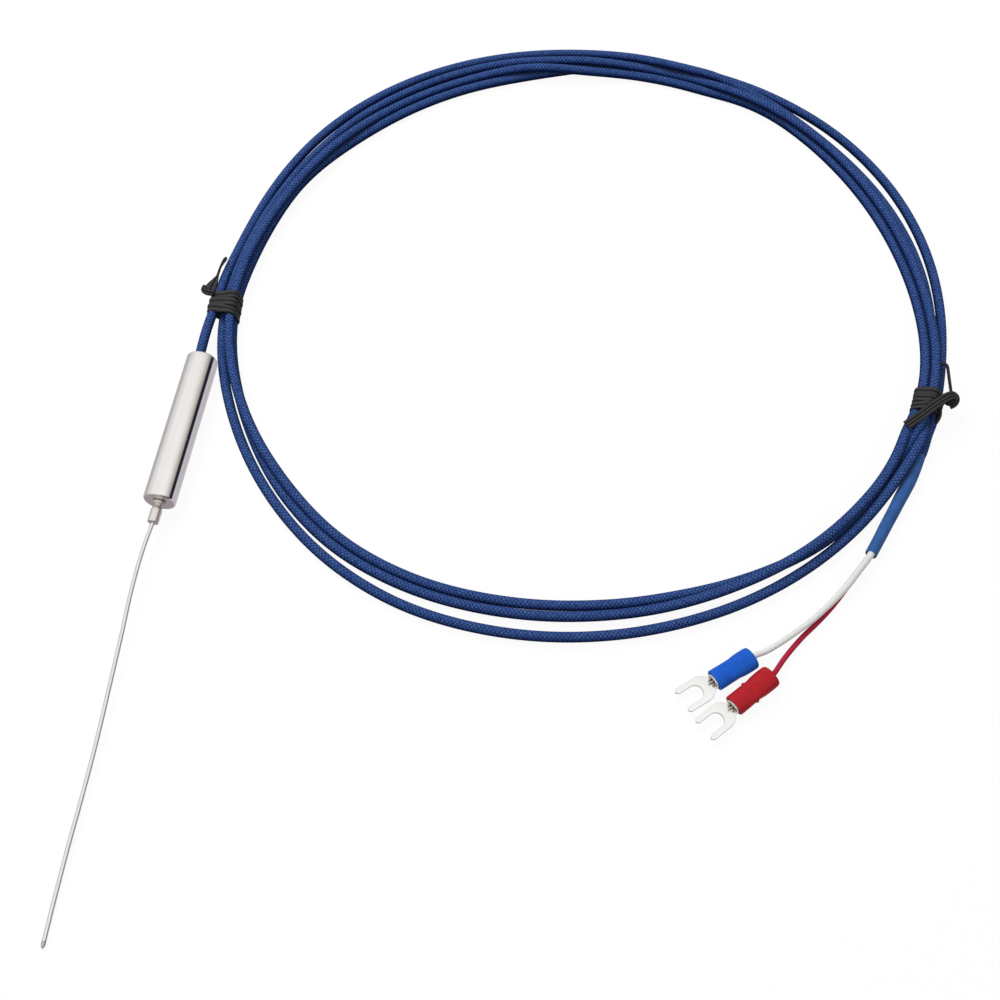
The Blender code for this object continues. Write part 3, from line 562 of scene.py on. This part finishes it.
def push_apart(points, first, second):
    """Moves for turns less than a diameter apart: mostly up or down, and the lower one goes further aside."""
    gap = points[first] - points[second]
    distance = np.maximum(np.linalg.norm(gap, axis=1), 1e-6)
    over = np.maximum(0.0, CORD_D * 1.005 - distance)
    push = gap / distance[:, None] * (over * 0.5)[:, None] * (0.4, 0.4, 1.2)
    share = np.ones_like(push)
    share[:, :2] = np.where(gap[:, 2] < 0, 1.35, 0.65)[:, None]
    move = np.zeros_like(points)
    hits = np.zeros(len(points))
    np.add.at(move, first, push * share)
    np.add.at(move, second, -push * (2.0 - share))
    np.add.at(hits, first, over > 0)
    np.add.at(hits, second, over > 0)
    return move / np.maximum(1.0, hits * 0.6)[:, None]


def settle(points):
    """Lets the turns rest on the floor and on each other, a diameter apart."""
    rounds, free_rounds, rounds_a_search = 260, 60, 12
    start = points.copy()
    pinned = np.zeros(len(points), dtype=bool)
    pinned[:PINNED_START] = True
    pinned[-PINNED_END:] = True
    for turn in range(rounds):
        if turn % rounds_a_search == 0:
            first, second = touching_pairs(points)
        move = push_apart(points, first, second)
        if turn < rounds - free_rounds:
            move += (start - points) * (0.03, 0.03, 0.04)
        move[pinned] = 0.0
        points = points + move
        offset = points - start
        easing = offset.copy()
        easing[1:-1] = 0.5 * offset[1:-1] + 0.25 * (offset[:-2] + offset[2:])
        easing[pinned] = 0.0
        points = start + offset * 0.55 + easing * 0.45
        floor = CORD_R + tie_lift(points)
        points[~pinned, 2] = np.maximum(points[~pinned, 2], floor[~pinned])
    return points


def cord_line():
    ends = [smooth_line(route, CORD_SPACING) for route in (LEAD_ROUTE, TAIL_ROUTE)]
    whole = even_line(np.concatenate([ends[0], coil_line()[:-1], ends[1]]), CORD_SPACING)
    for _ in range(6):
        whole[3:-9] += 0.25 * (0.5 * (whole[2:-10] + whole[4:-8]) - whole[3:-9])
    return settle(whole)


def build_cord():
    fine = even_line(smooth_line(cord_line(), 0.8), 0.85)
    for _ in range(3):
        fine[1:-1] += 0.3 * (0.5 * (fine[:-2] + fine[2:]) - fine[1:-1])
    return skin("braided_cord", tube_rings(fine, CORD_R, 16), CORD_LOOK, lengths_along(fine)), fine


cord, cord_path = build_cord()
cord.visible_glossy = False


# Heat-shrink sleeve over the end of the braid
def build_shrink():
    start, end = np.array(SHRINK_START), np.array(SHRINK_END)
    length = np.linalg.norm(end - start)
    places = np.array([0.0, 0.25, 1.5, 5.0, 9.0, 12.0, 14.5, 18.0, 23.0, 28.0, length - 0.3, length])
    wide = np.array([1.40, 1.44, 1.46, 1.58, 1.66, 1.66, 1.60, 1.55, 1.52, 1.46, 1.46, 1.40])
    tall = np.array([1.40, 1.44, 1.46, 1.58, 1.66, 1.66, 1.66, 1.66, 1.66, 1.66, 1.66, 1.60])
    steps = np.linspace(0.0, length, 60)
    steps = np.concatenate((steps[:1], [0.08, 0.25], steps[1:-1], [length - 0.25, length - 0.08], steps[-1:]))
    axis = (end - start) / length
    bend, bent_part, wall = 0.6, 9.0, 0.24
    inwards = np.array((-0.945, 0.326, 0.0))
    offset = bend * np.clip(1.0 - steps / bent_part, 0.0, 1.0) ** 2
    line = start + axis * steps[:, None] + inwards * offset[:, None]
    tangents = unit_rows(np.gradient(line, axis=0))
    ups = unit_rows(np.array((0.0, 0.0, 1.0)) - tangents * tangents[:, 2:])
    sides = np.cross(tangents, ups)
    a = np.interp(steps, places, wide)
    b = np.interp(steps, places, tall)
    turn = circle_turn(32)
    rings = []
    for shell, order in ((0.0, range(len(steps))), (wall, range(len(steps) - 1, -1, -1))):
        for row in order:
            grow = 1.0 + 0.012 * np.sin(turn * 3 + steps[row] * 0.7) * (1 if shell == 0 else 0)
            ring = (np.outer(np.cos(turn) * grow, ups[row]) * (b[row] - shell)
                    + np.outer(np.sin(turn) * grow, sides[row]) * (a[row] - shell))
            rings.append(line[row] + ring)
    return skin("shrink_sleeve", rings, SHRINK_LOOK, loop=True, sharp=50.0), axis, length


shrink, shrink_axis, shrink_length = build_shrink()


def terminal_axis(rear, front):
    start = np.array((*rear, TERMINAL_Z))
    end = np.array((*front, TERMINAL_Z))
    length = np.linalg.norm(end - start)
    return start, (end - start) / length, length


def build_lead(name, route, side, rear, front, look, radius):
    start = np.array(SHRINK_START)
    lift = np.array((0.0, 0.0, side * LEAD_STACK))
    reaches = (13.5, shrink_length - 8.0, shrink_length)
    inside = [start + shrink_axis * reach + lift for reach in reaches]
    origin, axis, _ = terminal_axis(rear, front)
    entry = [origin - axis * 0.5, origin + axis * 2.9]
    points = even_line(smooth_line(inside + route + entry, 0.8), 0.7)
    rings = tube_rings(points, np.interp(points[:, 1], (30.0, 36.0), radius), 18)
    return skin(name, rings, look), points


white_lead, white_path = build_lead(
    "white_insulated_lead", WHITE_ROUTE, 1, BLUE_REAR, BLUE_FRONT, WHITE_LOOK, (0.70, 0.86))
red_lead, red_path = build_lead(
    "red_insulated_lead", RED_ROUTE, -1, RED_REAR, RED_FRONT, RED_LOOK, (0.64, 0.64))


# Insulating sleeves of the terminals
def terminal_matrix(rear, front):
    """X across, Y from the rear to the fork, Z up, with the origin at the sleeve's rear end."""
    start, axis, length = terminal_axis(rear, front)
    y = Vector(axis)
    z = Vector((0.0, 0.0, 1.0))
    x = y.cross(z)
    matrix = Matrix((x, y, z)).transposed().to_4x4()
    matrix.translation = Vector(start) * MM
    return matrix, length


# Outside of a sleeve: part of its length, half its width, half its height
SLEEVE_PROFILE = [
    (0.0, 2.35, 1.60), (0.02, 2.65, 1.90), (0.05, 2.78, 2.02), (0.16, 2.82, 2.06), (0.28, 2.80, 2.06),
    (0.38, 2.74, 2.02), (0.43, 2.64, 1.88), (0.48, 2.56, 1.72), (0.52, 2.54, 1.66), (0.60, 2.54, 1.66),
    (0.66, 2.56, 1.72), (0.70, 2.58, 1.80), (0.76, 2.60, 1.84), (0.86, 2.62, 1.86), (0.95, 2.63, 1.87),
    (0.985, 2.62, 1.86), (1.0, 2.56, 1.80),
]


def sleeve_ring(wide, tall, place, squareness, sides=48):
    """Ring between an ellipse (squareness 2) and a rectangle."""
    turn = circle_turn(sides)
    c, s = np.cos(turn), np.sin(turn)
    power = 2.0 / squareness
    x = wide * np.sign(c) * np.abs(c) ** power
    z = tall * np.sign(s) * np.abs(s) ** power
    return np.stack([x, np.full(sides, place), z], axis=1)


def build_sleeve(name, rear, front, look, nubs):
    matrix, length = terminal_matrix(rear, front)
    steps, wides, talls = zip(*SLEEVE_PROFILE)
    fine = np.unique(np.concatenate((np.linspace(0.0, 1.0, 64), [0.006, 0.014, 0.986, 0.994])))
    wide = np.interp(fine, steps, wides)
    tall = np.interp(fine, steps, talls)
    kernel = np.array([0.25, 0.5, 0.25])
    wide[1:-1] = np.convolve(wide, kernel, mode="valid")
    tall[1:-1] = np.convolve(tall, kernel, mode="valid")
    pinch_place, nub_place, nub_height = 0.56, 0.575, 0.34
    rings = []
    for part, w, t in zip(fine, wide, tall):
        squareness = 2.0 + 0.7 * math.exp(-((part - pinch_place) / 0.13) ** 2)
        ring = sleeve_ring(w, t, part * length, squareness)
        if nubs:
            for side in (-1.0, 1.0):
                bulge = nub_height * math.exp(-((part - nub_place) / 0.022) ** 2)
                ring[:, 0] += side * bulge * np.clip(side * ring[:, 0] / w - 0.72, 0.0, 0.28) / 0.28
        rings.append(ring)
    bore_wide = np.interp(fine, [0, 0.2, 0.28, 1.0], [1.2, 1.2, 2.02, 2.12])
    bore_tall = np.interp(fine, [0, 0.2, 0.28, 0.5, 0.62, 1.0], [0.95, 0.95, 1.42, 1.40, 1.40, 1.44])
    for part, w, t in list(zip(fine, bore_wide, bore_tall))[::-1]:
        rings.append(sleeve_ring(w, t, part * length, 2.0))
    return skin(name, rings, look, loop=True, sharp=55.0, matrix=matrix)


blue_sleeve = build_sleeve("blue_insulating_sleeve", BLUE_REAR, BLUE_FRONT, BLUE_VINYL, False)
red_sleeve = build_sleeve("red_insulating_sleeve", RED_REAR, RED_FRONT, RED_VINYL, True)


# Metal of the terminals
def fork_outline(root, web, tip):
    """Half widths of the neck, of the outside and of the slot, whose floor is a half circle."""
    neck, outer, slot, slot_depth = 1.55, 3.2, 1.85, 5.6
    floor = tip - slot_depth + slot
    half = [
        (neck, root), (neck, web), (1.75, web + 0.5), (2.55, web + 1.25), (3.0, web + 2.0),
        (outer, web + 2.9), (outer, tip - 0.55), (2.75, tip), (2.25, tip), (slot + 0.05, tip - 0.5),
        (slot, tip - 1.0), (slot, floor),
    ]
    turns = [math.pi * k / 20 for k in range(1, 10)]
    half += [(slot * math.cos(turn), floor - slot * math.sin(turn)) for turn in turns]
    return half + [(0.0, floor - slot)] + [(-x, y) for x, y in reversed(half)]


def build_tongue(name, matrix, length):
    """Flat fork, 0.8 mm thick with round edges, that lies low in the crimp barrel."""
    outline = fork_outline(length - 1.9, length + 0.4, length + 9.1)
    edge, drop = 0.10, 0.45
    curve = bpy.data.curves.new(name, "CURVE")
    curve.dimensions = "2D"
    curve.fill_mode = "BOTH"
    curve.extrude = 0.30 * MM
    curve.bevel_depth = edge * MM
    curve.bevel_resolution = 2
    curve.offset = -edge * MM
    spline = curve.splines.new("POLY")
    spline.points.add(len(outline) - 1)
    spline.use_cyclic_u = True
    for point, place in zip(spline.points, outline):
        point.co = (place[0] * MM, place[1] * MM, 0.0, 1.0)
    holder = link(bpy.data.objects.new(name + "_curve", curve))
    bpy.context.view_layer.update()
    graph = bpy.context.evaluated_depsgraph_get()
    mesh = bpy.data.meshes.new_from_object(holder.evaluated_get(graph))
    bpy.data.objects.remove(holder)
    shape = bmesh.new()
    shape.from_mesh(mesh)
    bmesh.ops.remove_doubles(shape, verts=shape.verts, dist=1e-6)
    for vert in shape.verts:
        y = vert.co.y / MM - length
        vert.co.z += (-drop + 0.10 * math.exp(-((y + 1.0) / 1.2) ** 2)) * MM
    bmesh.ops.recalc_face_normals(shape, faces=shape.faces)
    bmesh.ops.transform(shape, matrix=matrix, verts=shape.verts)
    shape.to_mesh(mesh)
    shape.free()
    mesh.materials.clear()
    mesh.materials.append(TIN_LOOK)
    mesh.shade_smooth()
    mesh.set_sharp_from_angle(angle=math.radians(35))
    return link(bpy.data.objects.new(name, mesh))


def build_crimp(name, matrix, length):
    """Flattened crimp barrel, dented in the middle, flared and open at its ends."""
    start, end, rows, wall = 3.4, length + 0.4, 40, 0.46
    wide, tall = 1.82, 1.30
    places = np.linspace(start, end, rows)
    rings = []
    for shell, order in ((0.0, range(rows)), (wall, range(rows - 1, -1, -1))):
        for row in order:
            place = places[row]
            dent = math.exp(-((place / length - 0.56) / 0.12) ** 2)
            flare = 0.16 * math.exp(-(place - end) ** 2 / 0.5)
            height = tall - 0.12 * dent + flare * 0.5 - shell
            rings.append(sleeve_ring(wide + flare - shell, height, place, 2.1, 36))
    return skin(name, rings, TIN_LOOK, loop=True, sharp=50.0, matrix=matrix)


def build_strands(name, matrix, length):
    """Bare conductor: one strand with eight round it, pressed together in the crimp barrel."""
    wide, tall, lift = 0.62, 0.36, 0.26
    turns = [k * math.pi / 4 for k in range(8)]
    pieces = [(0.0, 0.0)] + [(wide * math.cos(turn), tall * math.sin(turn)) for turn in turns]
    faces, verts = [], []
    for number, (x, z) in enumerate(pieces):
        end = length + 1.5 - 0.15 * (number * 5 % 7)
        line = np.array([
            (x * 0.4, 2.7, z * 0.4), (x * 0.5, 3.4, z * 0.5), (x * 1.4, 6.0, z * 1.1),
            (x * 1.75, length - 0.3, lift + z * 0.9), (x * 1.85, end, lift + z * 0.8),
        ])
        ring = tube_rings(smooth_line(line, 0.6), (0.20 if number else 0.3), 8)
        rows, sides = ring.shape[:2]
        base = len(verts)
        verts.extend(ring.reshape(-1, 3))
        for row in range(rows - 1):
            for side in range(sides):
                other = (side + 1) % sides
                faces.append((base + row * sides + side, base + row * sides + other,
                              base + (row + 1) * sides + other, base + (row + 1) * sides + side))
        faces.append(tuple(base + side for side in range(sides)))
        faces.append(tuple(base + (rows - 1) * sides + side for side in range(sides)))
    return make_object(name, verts, faces, WIRE_LOOK, None, 40.0, matrix)


def build_terminal_metal(colour, rear, front):
    matrix, length = terminal_matrix(rear, front)
    tongue = build_tongue(colour + "_fork_tongue", matrix, length)
    crimp = build_crimp(colour + "_crimp_barrel", matrix, length)
    return tongue, crimp, build_strands(colour + "_conductor_strands", matrix, length)


blue_tongue, blue_crimp, white_strands = build_terminal_metal("blue", BLUE_REAR, BLUE_FRONT)
red_tongue, red_crimp, red_strands = build_terminal_metal("red", RED_REAR, RED_FRONT)


# Barrel, ferrule, sheath and tip
PROBE_AXIS = ((0.0, 0.0, AXIS_Z), (0.0, 1.0, 0.0))


def build_barrel():
    """Hollow cylinder with a front wall, a shallow recess round the ferrule and a faint rear groove."""
    front, rear, radius, bore = BARREL_FRONT, BARREL_REAR, 4.0, 3.5
    wall, recess, edge, groove = 1.5, 0.10, 0.35, 0.09
    profile = [
        (bore, rear), (bore, front + wall), (1.2, front + wall), (1.2, front + recess), (1.9, front + recess),
        (1.9, front), (radius - edge, front), (radius, front + edge), (radius, rear - 1.05),
        (radius - groove, rear - 1.0), (radius - groove, rear - 0.85), (radius, rear - 0.8),
        (radius, rear - edge), (radius - edge, rear),
    ]
    return lathe("polished_barrel", fillet(profile, 0.16), BARREL_LOOK, *PROBE_AXIS, steps=128, sharp=30.0)


def build_ferrule():
    front, rear = BARREL_FRONT - 5.7, BARREL_FRONT + 3.0
    profile = [
        (1.15, rear), (1.15, 31.66), (1.6, 31.66), (1.6, 30.88), (1.02, 30.84), (1.02, 30.40),
        (1.10, 30.36), (1.375, 29.40), (1.375, front + 0.16), (1.24, front), (0.80, front),
        (0.64, front + 0.45), (0.59, rear),
    ]
    return lathe("stepped_ferrule", fillet(profile, 0.08), FERRULE_LOOK, *PROBE_AXIS, sharp=30.0)


SHEATH_ROUTE = [
    (0.0, 35.9, 4.0), (0.0, 31.7, 4.0), (0.0, 26.0, 4.0), (-0.35, 21.0, 3.83), (-0.5, 14.5, 3.58),
    (-0.25, 6.5, 3.3), (0.35, -2.2, 2.98), (1.05, -14.5, 2.55), (1.8, -28.5, 2.07), (2.15, -41.0, 1.65),
    (2.3, -52.5, 1.24), (2.65, -64.0, 0.84), (3.05, -73.5, 0.51),
]


def build_sheath():
    points = even_line(smooth_line(SHEATH_ROUTE, 1.5), 1.5)
    body = points[points[:, 1] > -72.4]
    sheath = skin("drawn_sheath", tube_rings(body, 0.5, 28), SHEATH_LOOK)
    axis = points[-1] - points[-2]
    axis /= np.linalg.norm(axis)
    start = body[-1] + axis * 0.02
    length = float(np.dot(points[-1] - start, axis))
    profile = [(0.01, 0.0), (0.5, 0.0), (0.51, length * 0.25), (0.47, length * 0.55), (0.33, length * 0.82),
               (0.16, length * 0.96), (0.01, length)]
    outline = fillet(profile, 0.12, False)
    tip = lathe("tip_bead", outline, TIP_LOOK, start, axis, False, 32, 60.0)
    return sheath, tip


barrel = build_barrel()
ferrule = build_ferrule()
sheath, tip = build_sheath()


# Ties of ridged strip
def section_hull(centres, grow):
    """Outline round circles, in the (radius, height) plane, seen from its middle."""
    centres = np.asarray(centres, dtype=float)
    middle = centres.mean(axis=0)
    turn = circle_turn(240)
    directions = np.stack([np.cos(turn), np.sin(turn)], axis=1)
    reach = (directions @ (centres - middle).T).max(axis=1) + CORD_R + grow
    half_planes = list(zip(directions, reach))
    result = []
    for angle in circle_turn(48):
        ray = np.array((math.cos(angle), math.sin(angle)))
        distance = min(limit / max(1e-6, ray.dot(way)) for way, limit in half_planes if ray.dot(way) > 0.02)
        result.append(middle + ray * distance)
    return np.array(result)


def strands_at(angle):
    """(radius, height) of each turn of the cord where it crosses an angle."""
    x = cord_path[:, 0] - COIL_X
    y = cord_path[:, 1] - COIL_Y
    away = angles_from(np.degrees(np.arctan2(y, x)), angle)
    radius = np.hypot(x, y)
    found = []
    for index in range(len(away) - 1):
        if away[index] * away[index + 1] <= 0 and abs(away[index]) < 5 and radius[index] > 70:
            found.append((radius[index], cord_path[index, 2]))
    return found


def to_space(angle, radius, height):
    turn = math.radians(angle)
    return np.array((COIL_X + radius * math.cos(turn), COIL_Y + radius * math.sin(turn), height))


def strip_section(width, thickness, ribs):
    """Cross-section of a ridged strip: across, outwards."""
    top = []
    for k in range(ribs * RIB_STEPS + 1):
        part = k / (ribs * RIB_STEPS)
        rise = 0.45 * thickness * abs(math.sin(math.pi * part * ribs)) ** 0.6
        top.append(((part - 0.5) * width, thickness * 0.5 + rise))
    bottom = [(width * 0.5, 0.0), (0.0, 0.0), (-width * 0.5, 0.0)]
    return np.array(top + bottom)


def strip(name, line, outwards, width, thickness, ribs=STRIP_RIBS):
    """Ridged strip along a line, its ribs facing the outward directions."""
    line = np.asarray(line, dtype=float)
    outwards = np.asarray(outwards, dtype=float)
    tangents = unit_rows(np.gradient(line, axis=0))
    outwards = unit_rows(outwards - tangents * (outwards * tangents).sum(axis=1)[:, None])
    across = np.cross(tangents, outwards)
    widths = np.broadcast_to(np.asarray(width, dtype=float), (len(line),))
    rings = []
    for k in range(len(line)):
        section = strip_section(widths[k], thickness, ribs)
        rings.append(line[k] + np.outer(section[:, 0], across[k]) + np.outer(section[:, 1], outwards[k]))
    return skin(name, rings, TIE_LOOK, sharp=60.0, around=(ribs * RIB_STEPS + 4) / RIB_STEPS)


def ribbon(name, route, spacing, outwards, widths, thickness):
    """Narrow strip along a smooth line that faces one way. Widths are (part of the way, width) pairs."""
    line = smooth_line(route, spacing)
    parts, values = zip(*widths)
    width = np.interp(np.linspace(0, 1, len(line)), parts, values)
    return strip(name, line, np.tile(outwards, (len(line), 1)), width, thickness, ribs=2)


def wrap(name, start_angle, end_angle, width, grow, tilt):
    """Strip wound once round the bundle from its top, its middle going from one angle to the other."""
    steps, top = 56, 0.25
    line, outwards = [], []
    for k in range(steps + 1):
        part = k / steps
        place = top + part
        angle = start_angle + (end_angle - start_angle) * part + tilt * math.cos(2 * math.pi * place)
        hull = section_hull(strands_at(angle), grow)
        spot = (place % 1.0) * len(hull)
        low = int(spot) % len(hull)
        high = (low + 1) % len(hull)
        radius, height = hull[low] + (hull[high] - hull[low]) * (spot - int(spot))
        height = max(height, STRIP_THICKNESS)
        line.append(to_space(angle, radius, height))
        turn = math.radians(angle)
        away = np.array((radius, height)) - hull.mean(axis=0)
        away /= np.linalg.norm(away)
        outwards.append((away[0] * math.cos(turn), away[0] * math.sin(turn), away[1]))
    return strip(name, line, outwards, width, STRIP_THICKNESS, ribs=2)


def build_left_tie():
    knot = [(-5.1, 95.7, 4.3), (-5.2, 94.7, 4.2), (-4.5, 93.8, 4.5), (-3.2, 93.3, 4.9), (-1.9, 93.2, 5.1)]
    flap = [(-3.4, 94.3, 4.3), (-3.4, 95.4, 4.5), (-3.0, 97.0, 4.7), (-2.6, 99.1, 4.7)]
    tail = [
        (-2.7, 98.4, 4.7), (-2.65, 100.2, 4.8), (-2.55, 102.0, 4.9), (-2.2, 103.7, 4.9), (-1.9, 105.3, 4.7),
    ]
    knot_widths = ((0, 0.9), (0.25, 1.5), (0.7, 1.5), (1, 1.2))
    flap_widths = ((0, 2.6), (0.25, 2.9), (1, 0.7))
    tail_widths = ((0, 0.7), (0.5, 0.6), (0.88, 1.05), (1, 0.6))
    return [
        wrap("left_tie_turn_1", 187.85, 187.9, 2.5, 0.02, 0.05),
        wrap("left_tie_turn_2", 189.2, 189.3, 2.6, 0.10, -0.3),
        wrap("left_tie_turn_3", 190.55, 190.65, 2.6, 0.02, -0.55),
        ribbon("left_tie_knot", knot, 0.25, (-0.35, -0.25, 1.0), knot_widths, 0.8),
        ribbon("left_tie_flap", flap, 0.25, (0.2, 0.0, 1.0), flap_widths, 0.4),
        ribbon("left_tie_tail", tail, 0.25, (0.6, 0.0, 1.0), tail_widths, 0.5),
    ]


def build_right_tie():
    free = smooth_line([
        (177.9, 81.2, 5.6), (180.9, 84.0, 6.1), (183.8, 86.9, 6.6), (186.3, 89.4, 6.6), (188.2, 91.1, 6.2),
        (189.4, 91.9, 5.4), (189.9, 91.9, 4.4),
    ], 0.3)
    free_up = np.tile((0.0, 0.0, 1.0), (len(free), 1))
    free_up[-9:] = np.linspace((0.0, 0.0, 1.0), (1.0, 0.2, 0.2), 9)
    knot = smooth_line([
        (189.2, 93.0, 4.9), (190.0, 92.3, 5.0), (190.2, 91.2, 4.9), (189.7, 90.2, 4.6), (188.7, 89.6, 4.2),
    ], 0.25)
    knot_middle = np.array((188.5, 91.3, 2.2))
    core = [(0.01, -1.5), (0.9, -1.2), (1.25, -0.5), (1.35, 0.1), (1.2, 0.6), (0.7, 0.9), (0.01, 1.0)]
    core_place, core_axis = (188.9, 91.3, 4.0), (0.2, 0.0, 1.0)
    thin = [
        (189.1, 92.3, 4.6), (188.9, 94.0, 4.2), (188.4, 98.0, 4.1), (188.0, 101.0, 4.1), (187.5, 101.9, 4.0),
        (186.6, 102.1, 3.8),
    ]
    thin_widths = ((0, 0.9), (0.15, 0.7), (0.75, 0.7), (1, 1.0))
    loop = [
        (186.0, 89.4, 4.2), (186.5, 88.2, 3.8), (186.6, 87.0, 3.2), (186.1, 85.7, 2.4), (185.2, 84.7, 1.5),
    ]
    return [
        wrap("right_tie_turn_1", -8.6, -8.65, 2.5, 0.25, 0.1),
        wrap("right_tie_turn_2", -9.9, -9.95, 2.5, 0.15, 0.1),
        wrap("right_tie_turn_3", -11.2, -11.35, 2.5, 0.02, 0.45),
        strip("right_tie_free_strip", free, free_up, 2.5, 0.5),
        strip("right_tie_knot", knot, knot - knot_middle, 1.9, 0.5),
        lathe("right_tie_knot_core", core, TIE_LOOK, core_place, core_axis, False, 24, 60.0),
        ribbon("right_tie_thin_strand", thin, 0.3, (0.5, 0.1, 1.0), thin_widths, 0.6),
        ribbon("right_tie_loop", loop, 0.3, (1.0, -0.2, 0.7), ((0, 1.4), (1, 1.4)), 0.4),
    ]


left_tie = build_left_tie()
right_tie = build_right_tie()


# Looks of the pieces that come from the frame
def dress(name, look):
    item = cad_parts[name]
    item.data.materials.clear()
    item.data.materials.append(look)


dress("mineral_insulation", MINERAL_LOOK)
dress("hot_junction", TIP_LOOK)
dress("potting_compound", RESIN_LOOK)
dress("rear_plug", RESIN_LOOK)
for sign in ("positive", "negative"):
    dress(sign + "_thermoelement", WIRE_LOOK)
    dress(sign + "_splice", TIN_LOOK)
    dress(sign + "_extension_core", WIRE_LOOK)


# Bodies and replaced nodes
def carry(item, slot_name, *nodes):
    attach(item, "root")
    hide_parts(*nodes)


carry(cord, "cord_coil", "cord_lead", "cord_coil", "cord_tail")
for node_name, pieces in (
    ("heat_shrink_sleeve", [shrink]),
    ("white_lead", [white_lead]),
    ("red_lead", [red_lead]),
    ("blue_terminal_sleeve", [blue_sleeve]),
    ("red_terminal_sleeve", [red_sleeve]),
    ("blue_fork_terminal", [blue_tongue, blue_crimp]),
    ("red_fork_terminal", [red_tongue, red_crimp]),
    ("white_conductor", [white_strands]),
    ("red_conductor", [red_strands]),
    ("transition_barrel", [barrel]),
    ("ferrule", [ferrule]),
    ("probe_sheath", [sheath]),
    ("tip_weld", [tip]),
    ("left_tie", left_tie),
    ("right_tie", right_tie),
):
    for piece in pieces:
        carry(piece, node_name, node_name)


# Floor
def seen_directly(tree):
    """1 for what the camera sees itself or through something clear, else 0."""
    path = node(tree, "ShaderNodeLightPath")
    return maths(tree, "MAXIMUM", path.outputs["Is Camera Ray"], path.outputs["Is Transmission Ray"])


def build_floor():
    """Floor that glows white to the camera, so that only soft shadows show on it."""
    size = 3.0
    corners = [(x * size, y * size, 0.0) for x, y in ((-1, -1), (1, -1), (1, 1), (-1, 1))]
    mesh = bpy.data.meshes.new("floor")
    mesh.from_pydata(corners, [], [(0, 1, 2, 3)])
    floor = link(bpy.data.objects.new("floor", mesh))
    look = bpy.data.materials.new("floor_white")
    look.use_nodes = True
    tree = look.node_tree
    tree.nodes.clear()
    output = node(tree, "ShaderNodeOutputMaterial")
    diffuse = node(tree, "ShaderNodeBsdfDiffuse")
    set_inputs(diffuse, Color=(0.60, 0.60, 0.60, 1.0))
    glow = node(tree, "ShaderNodeEmission")
    set_inputs(glow, Color=(1.0, 1.0, 1.0, 1.0), Strength=1.06)
    mix = node(tree, "ShaderNodeMixShader")
    feed(tree, mix.inputs[0], maths(tree, "MULTIPLY", seen_directly(tree), 0.88))
    tree.links.new(diffuse.outputs[0], mix.inputs[1])
    tree.links.new(glow.outputs[0], mix.inputs[2])
    tree.links.new(mix.outputs[0], output.inputs["Surface"])
    mesh.materials.append(look)
    floor.visible_glossy = False


build_floor()


# Studio
def build_world():
    """White to the camera. Metal sees bright sky and ground with a dark band at the right-hand horizon."""
    world = bpy.data.worlds.new("studio")
    bpy.context.scene.world = world
    world.use_nodes = True
    tree = world.node_tree
    tree.nodes.clear()
    output = node(tree, "ShaderNodeOutputWorld")
    back = node(tree, "ShaderNodeBackground")
    way = parts_of(tree, node(tree, "ShaderNodeTexCoord").outputs["Generated"])
    height = maths(tree, "MULTIPLY_ADD", way[2], 0.5, 0.5)
    navy = (0.012, 0.012, 0.025)
    right = ramp(tree, height, [
        (0.0, (0.62, 0.59, 0.64)), (0.22, (0.50, 0.47, 0.53)), (0.34, (0.64, 0.62, 0.66)),
        (0.40, (0.46, 0.44, 0.49)), (0.425, navy), (0.60, navy), (0.63, (0.36, 0.33, 0.31)),
        (0.73, (0.56, 0.53, 0.50)), (0.83, (0.80, 0.79, 0.78)), (0.905, 0.92), (0.95, 0.97), (1.0, 0.97)])
    left = ramp(tree, height, [
        (0.0, 0.46), (0.3, (0.50, 0.48, 0.48)), (0.48, (0.56, 0.54, 0.54)), (0.58, 0.80), (0.68, 0.76),
        (0.80, 0.93), (1.0, 0.93)])
    side = maths(tree, "MULTIPLY_ADD", way[0], 4.0, 0.5, clamp=True)
    studio = blend_colours(tree, side, left, right)
    glossy = node(tree, "ShaderNodeLightPath").outputs["Is Glossy Ray"]
    soft = blend_colours(tree, glossy, (0.40, 0.40, 0.40), studio)
    final = blend_colours(tree, seen_directly(tree), soft, (1.0, 1.0, 1.0))
    tree.links.new(final, back.inputs["Color"])
    set_inputs(back, Strength=1.0)
    tree.links.new(back.outputs[0], output.inputs["Surface"])


def aim(item, place, target):
    item.location = place
    item.rotation_euler = (Vector(target) - Vector(place)).to_track_quat("-Z", "Y").to_euler()


def add_light(name, place, target, size, power):
    """Soft light that shines on things but is never mirrored in them."""
    data = bpy.data.lights.new(name, "AREA")
    data.shape = "RECTANGLE"
    data.size, data.size_y = size
    data.energy = power
    lamp = link(bpy.data.objects.new(name, data))
    aim(lamp, place, target)
    lamp.visible_glossy = False


build_world()
add_light("key", (-0.25, 0.42, 0.62), (0.08, 0.08, 0.0), (0.55, 0.45), 4.8)
add_light("fill", (0.55, -0.30, 0.60), (0.08, 0.05, 0.0), (0.50, 0.50), 0.7)


# Camera
camera_data = bpy.data.cameras.new("camera")
camera = link(bpy.data.objects.new("camera", camera_data))
aim(camera, (0.1071, -0.1136, 0.3097), (0.08117, 0.04746, 0.0))
camera_data.sensor_fit = "HORIZONTAL"
camera_data.sensor_width = 36.0
camera_data.lens = 51.27
camera_data.clip_start = 0.01
camera_data.clip_end = 20.0
bpy.context.scene.camera = camera
bpy.context.scene.view_settings.view_transform = "Standard"
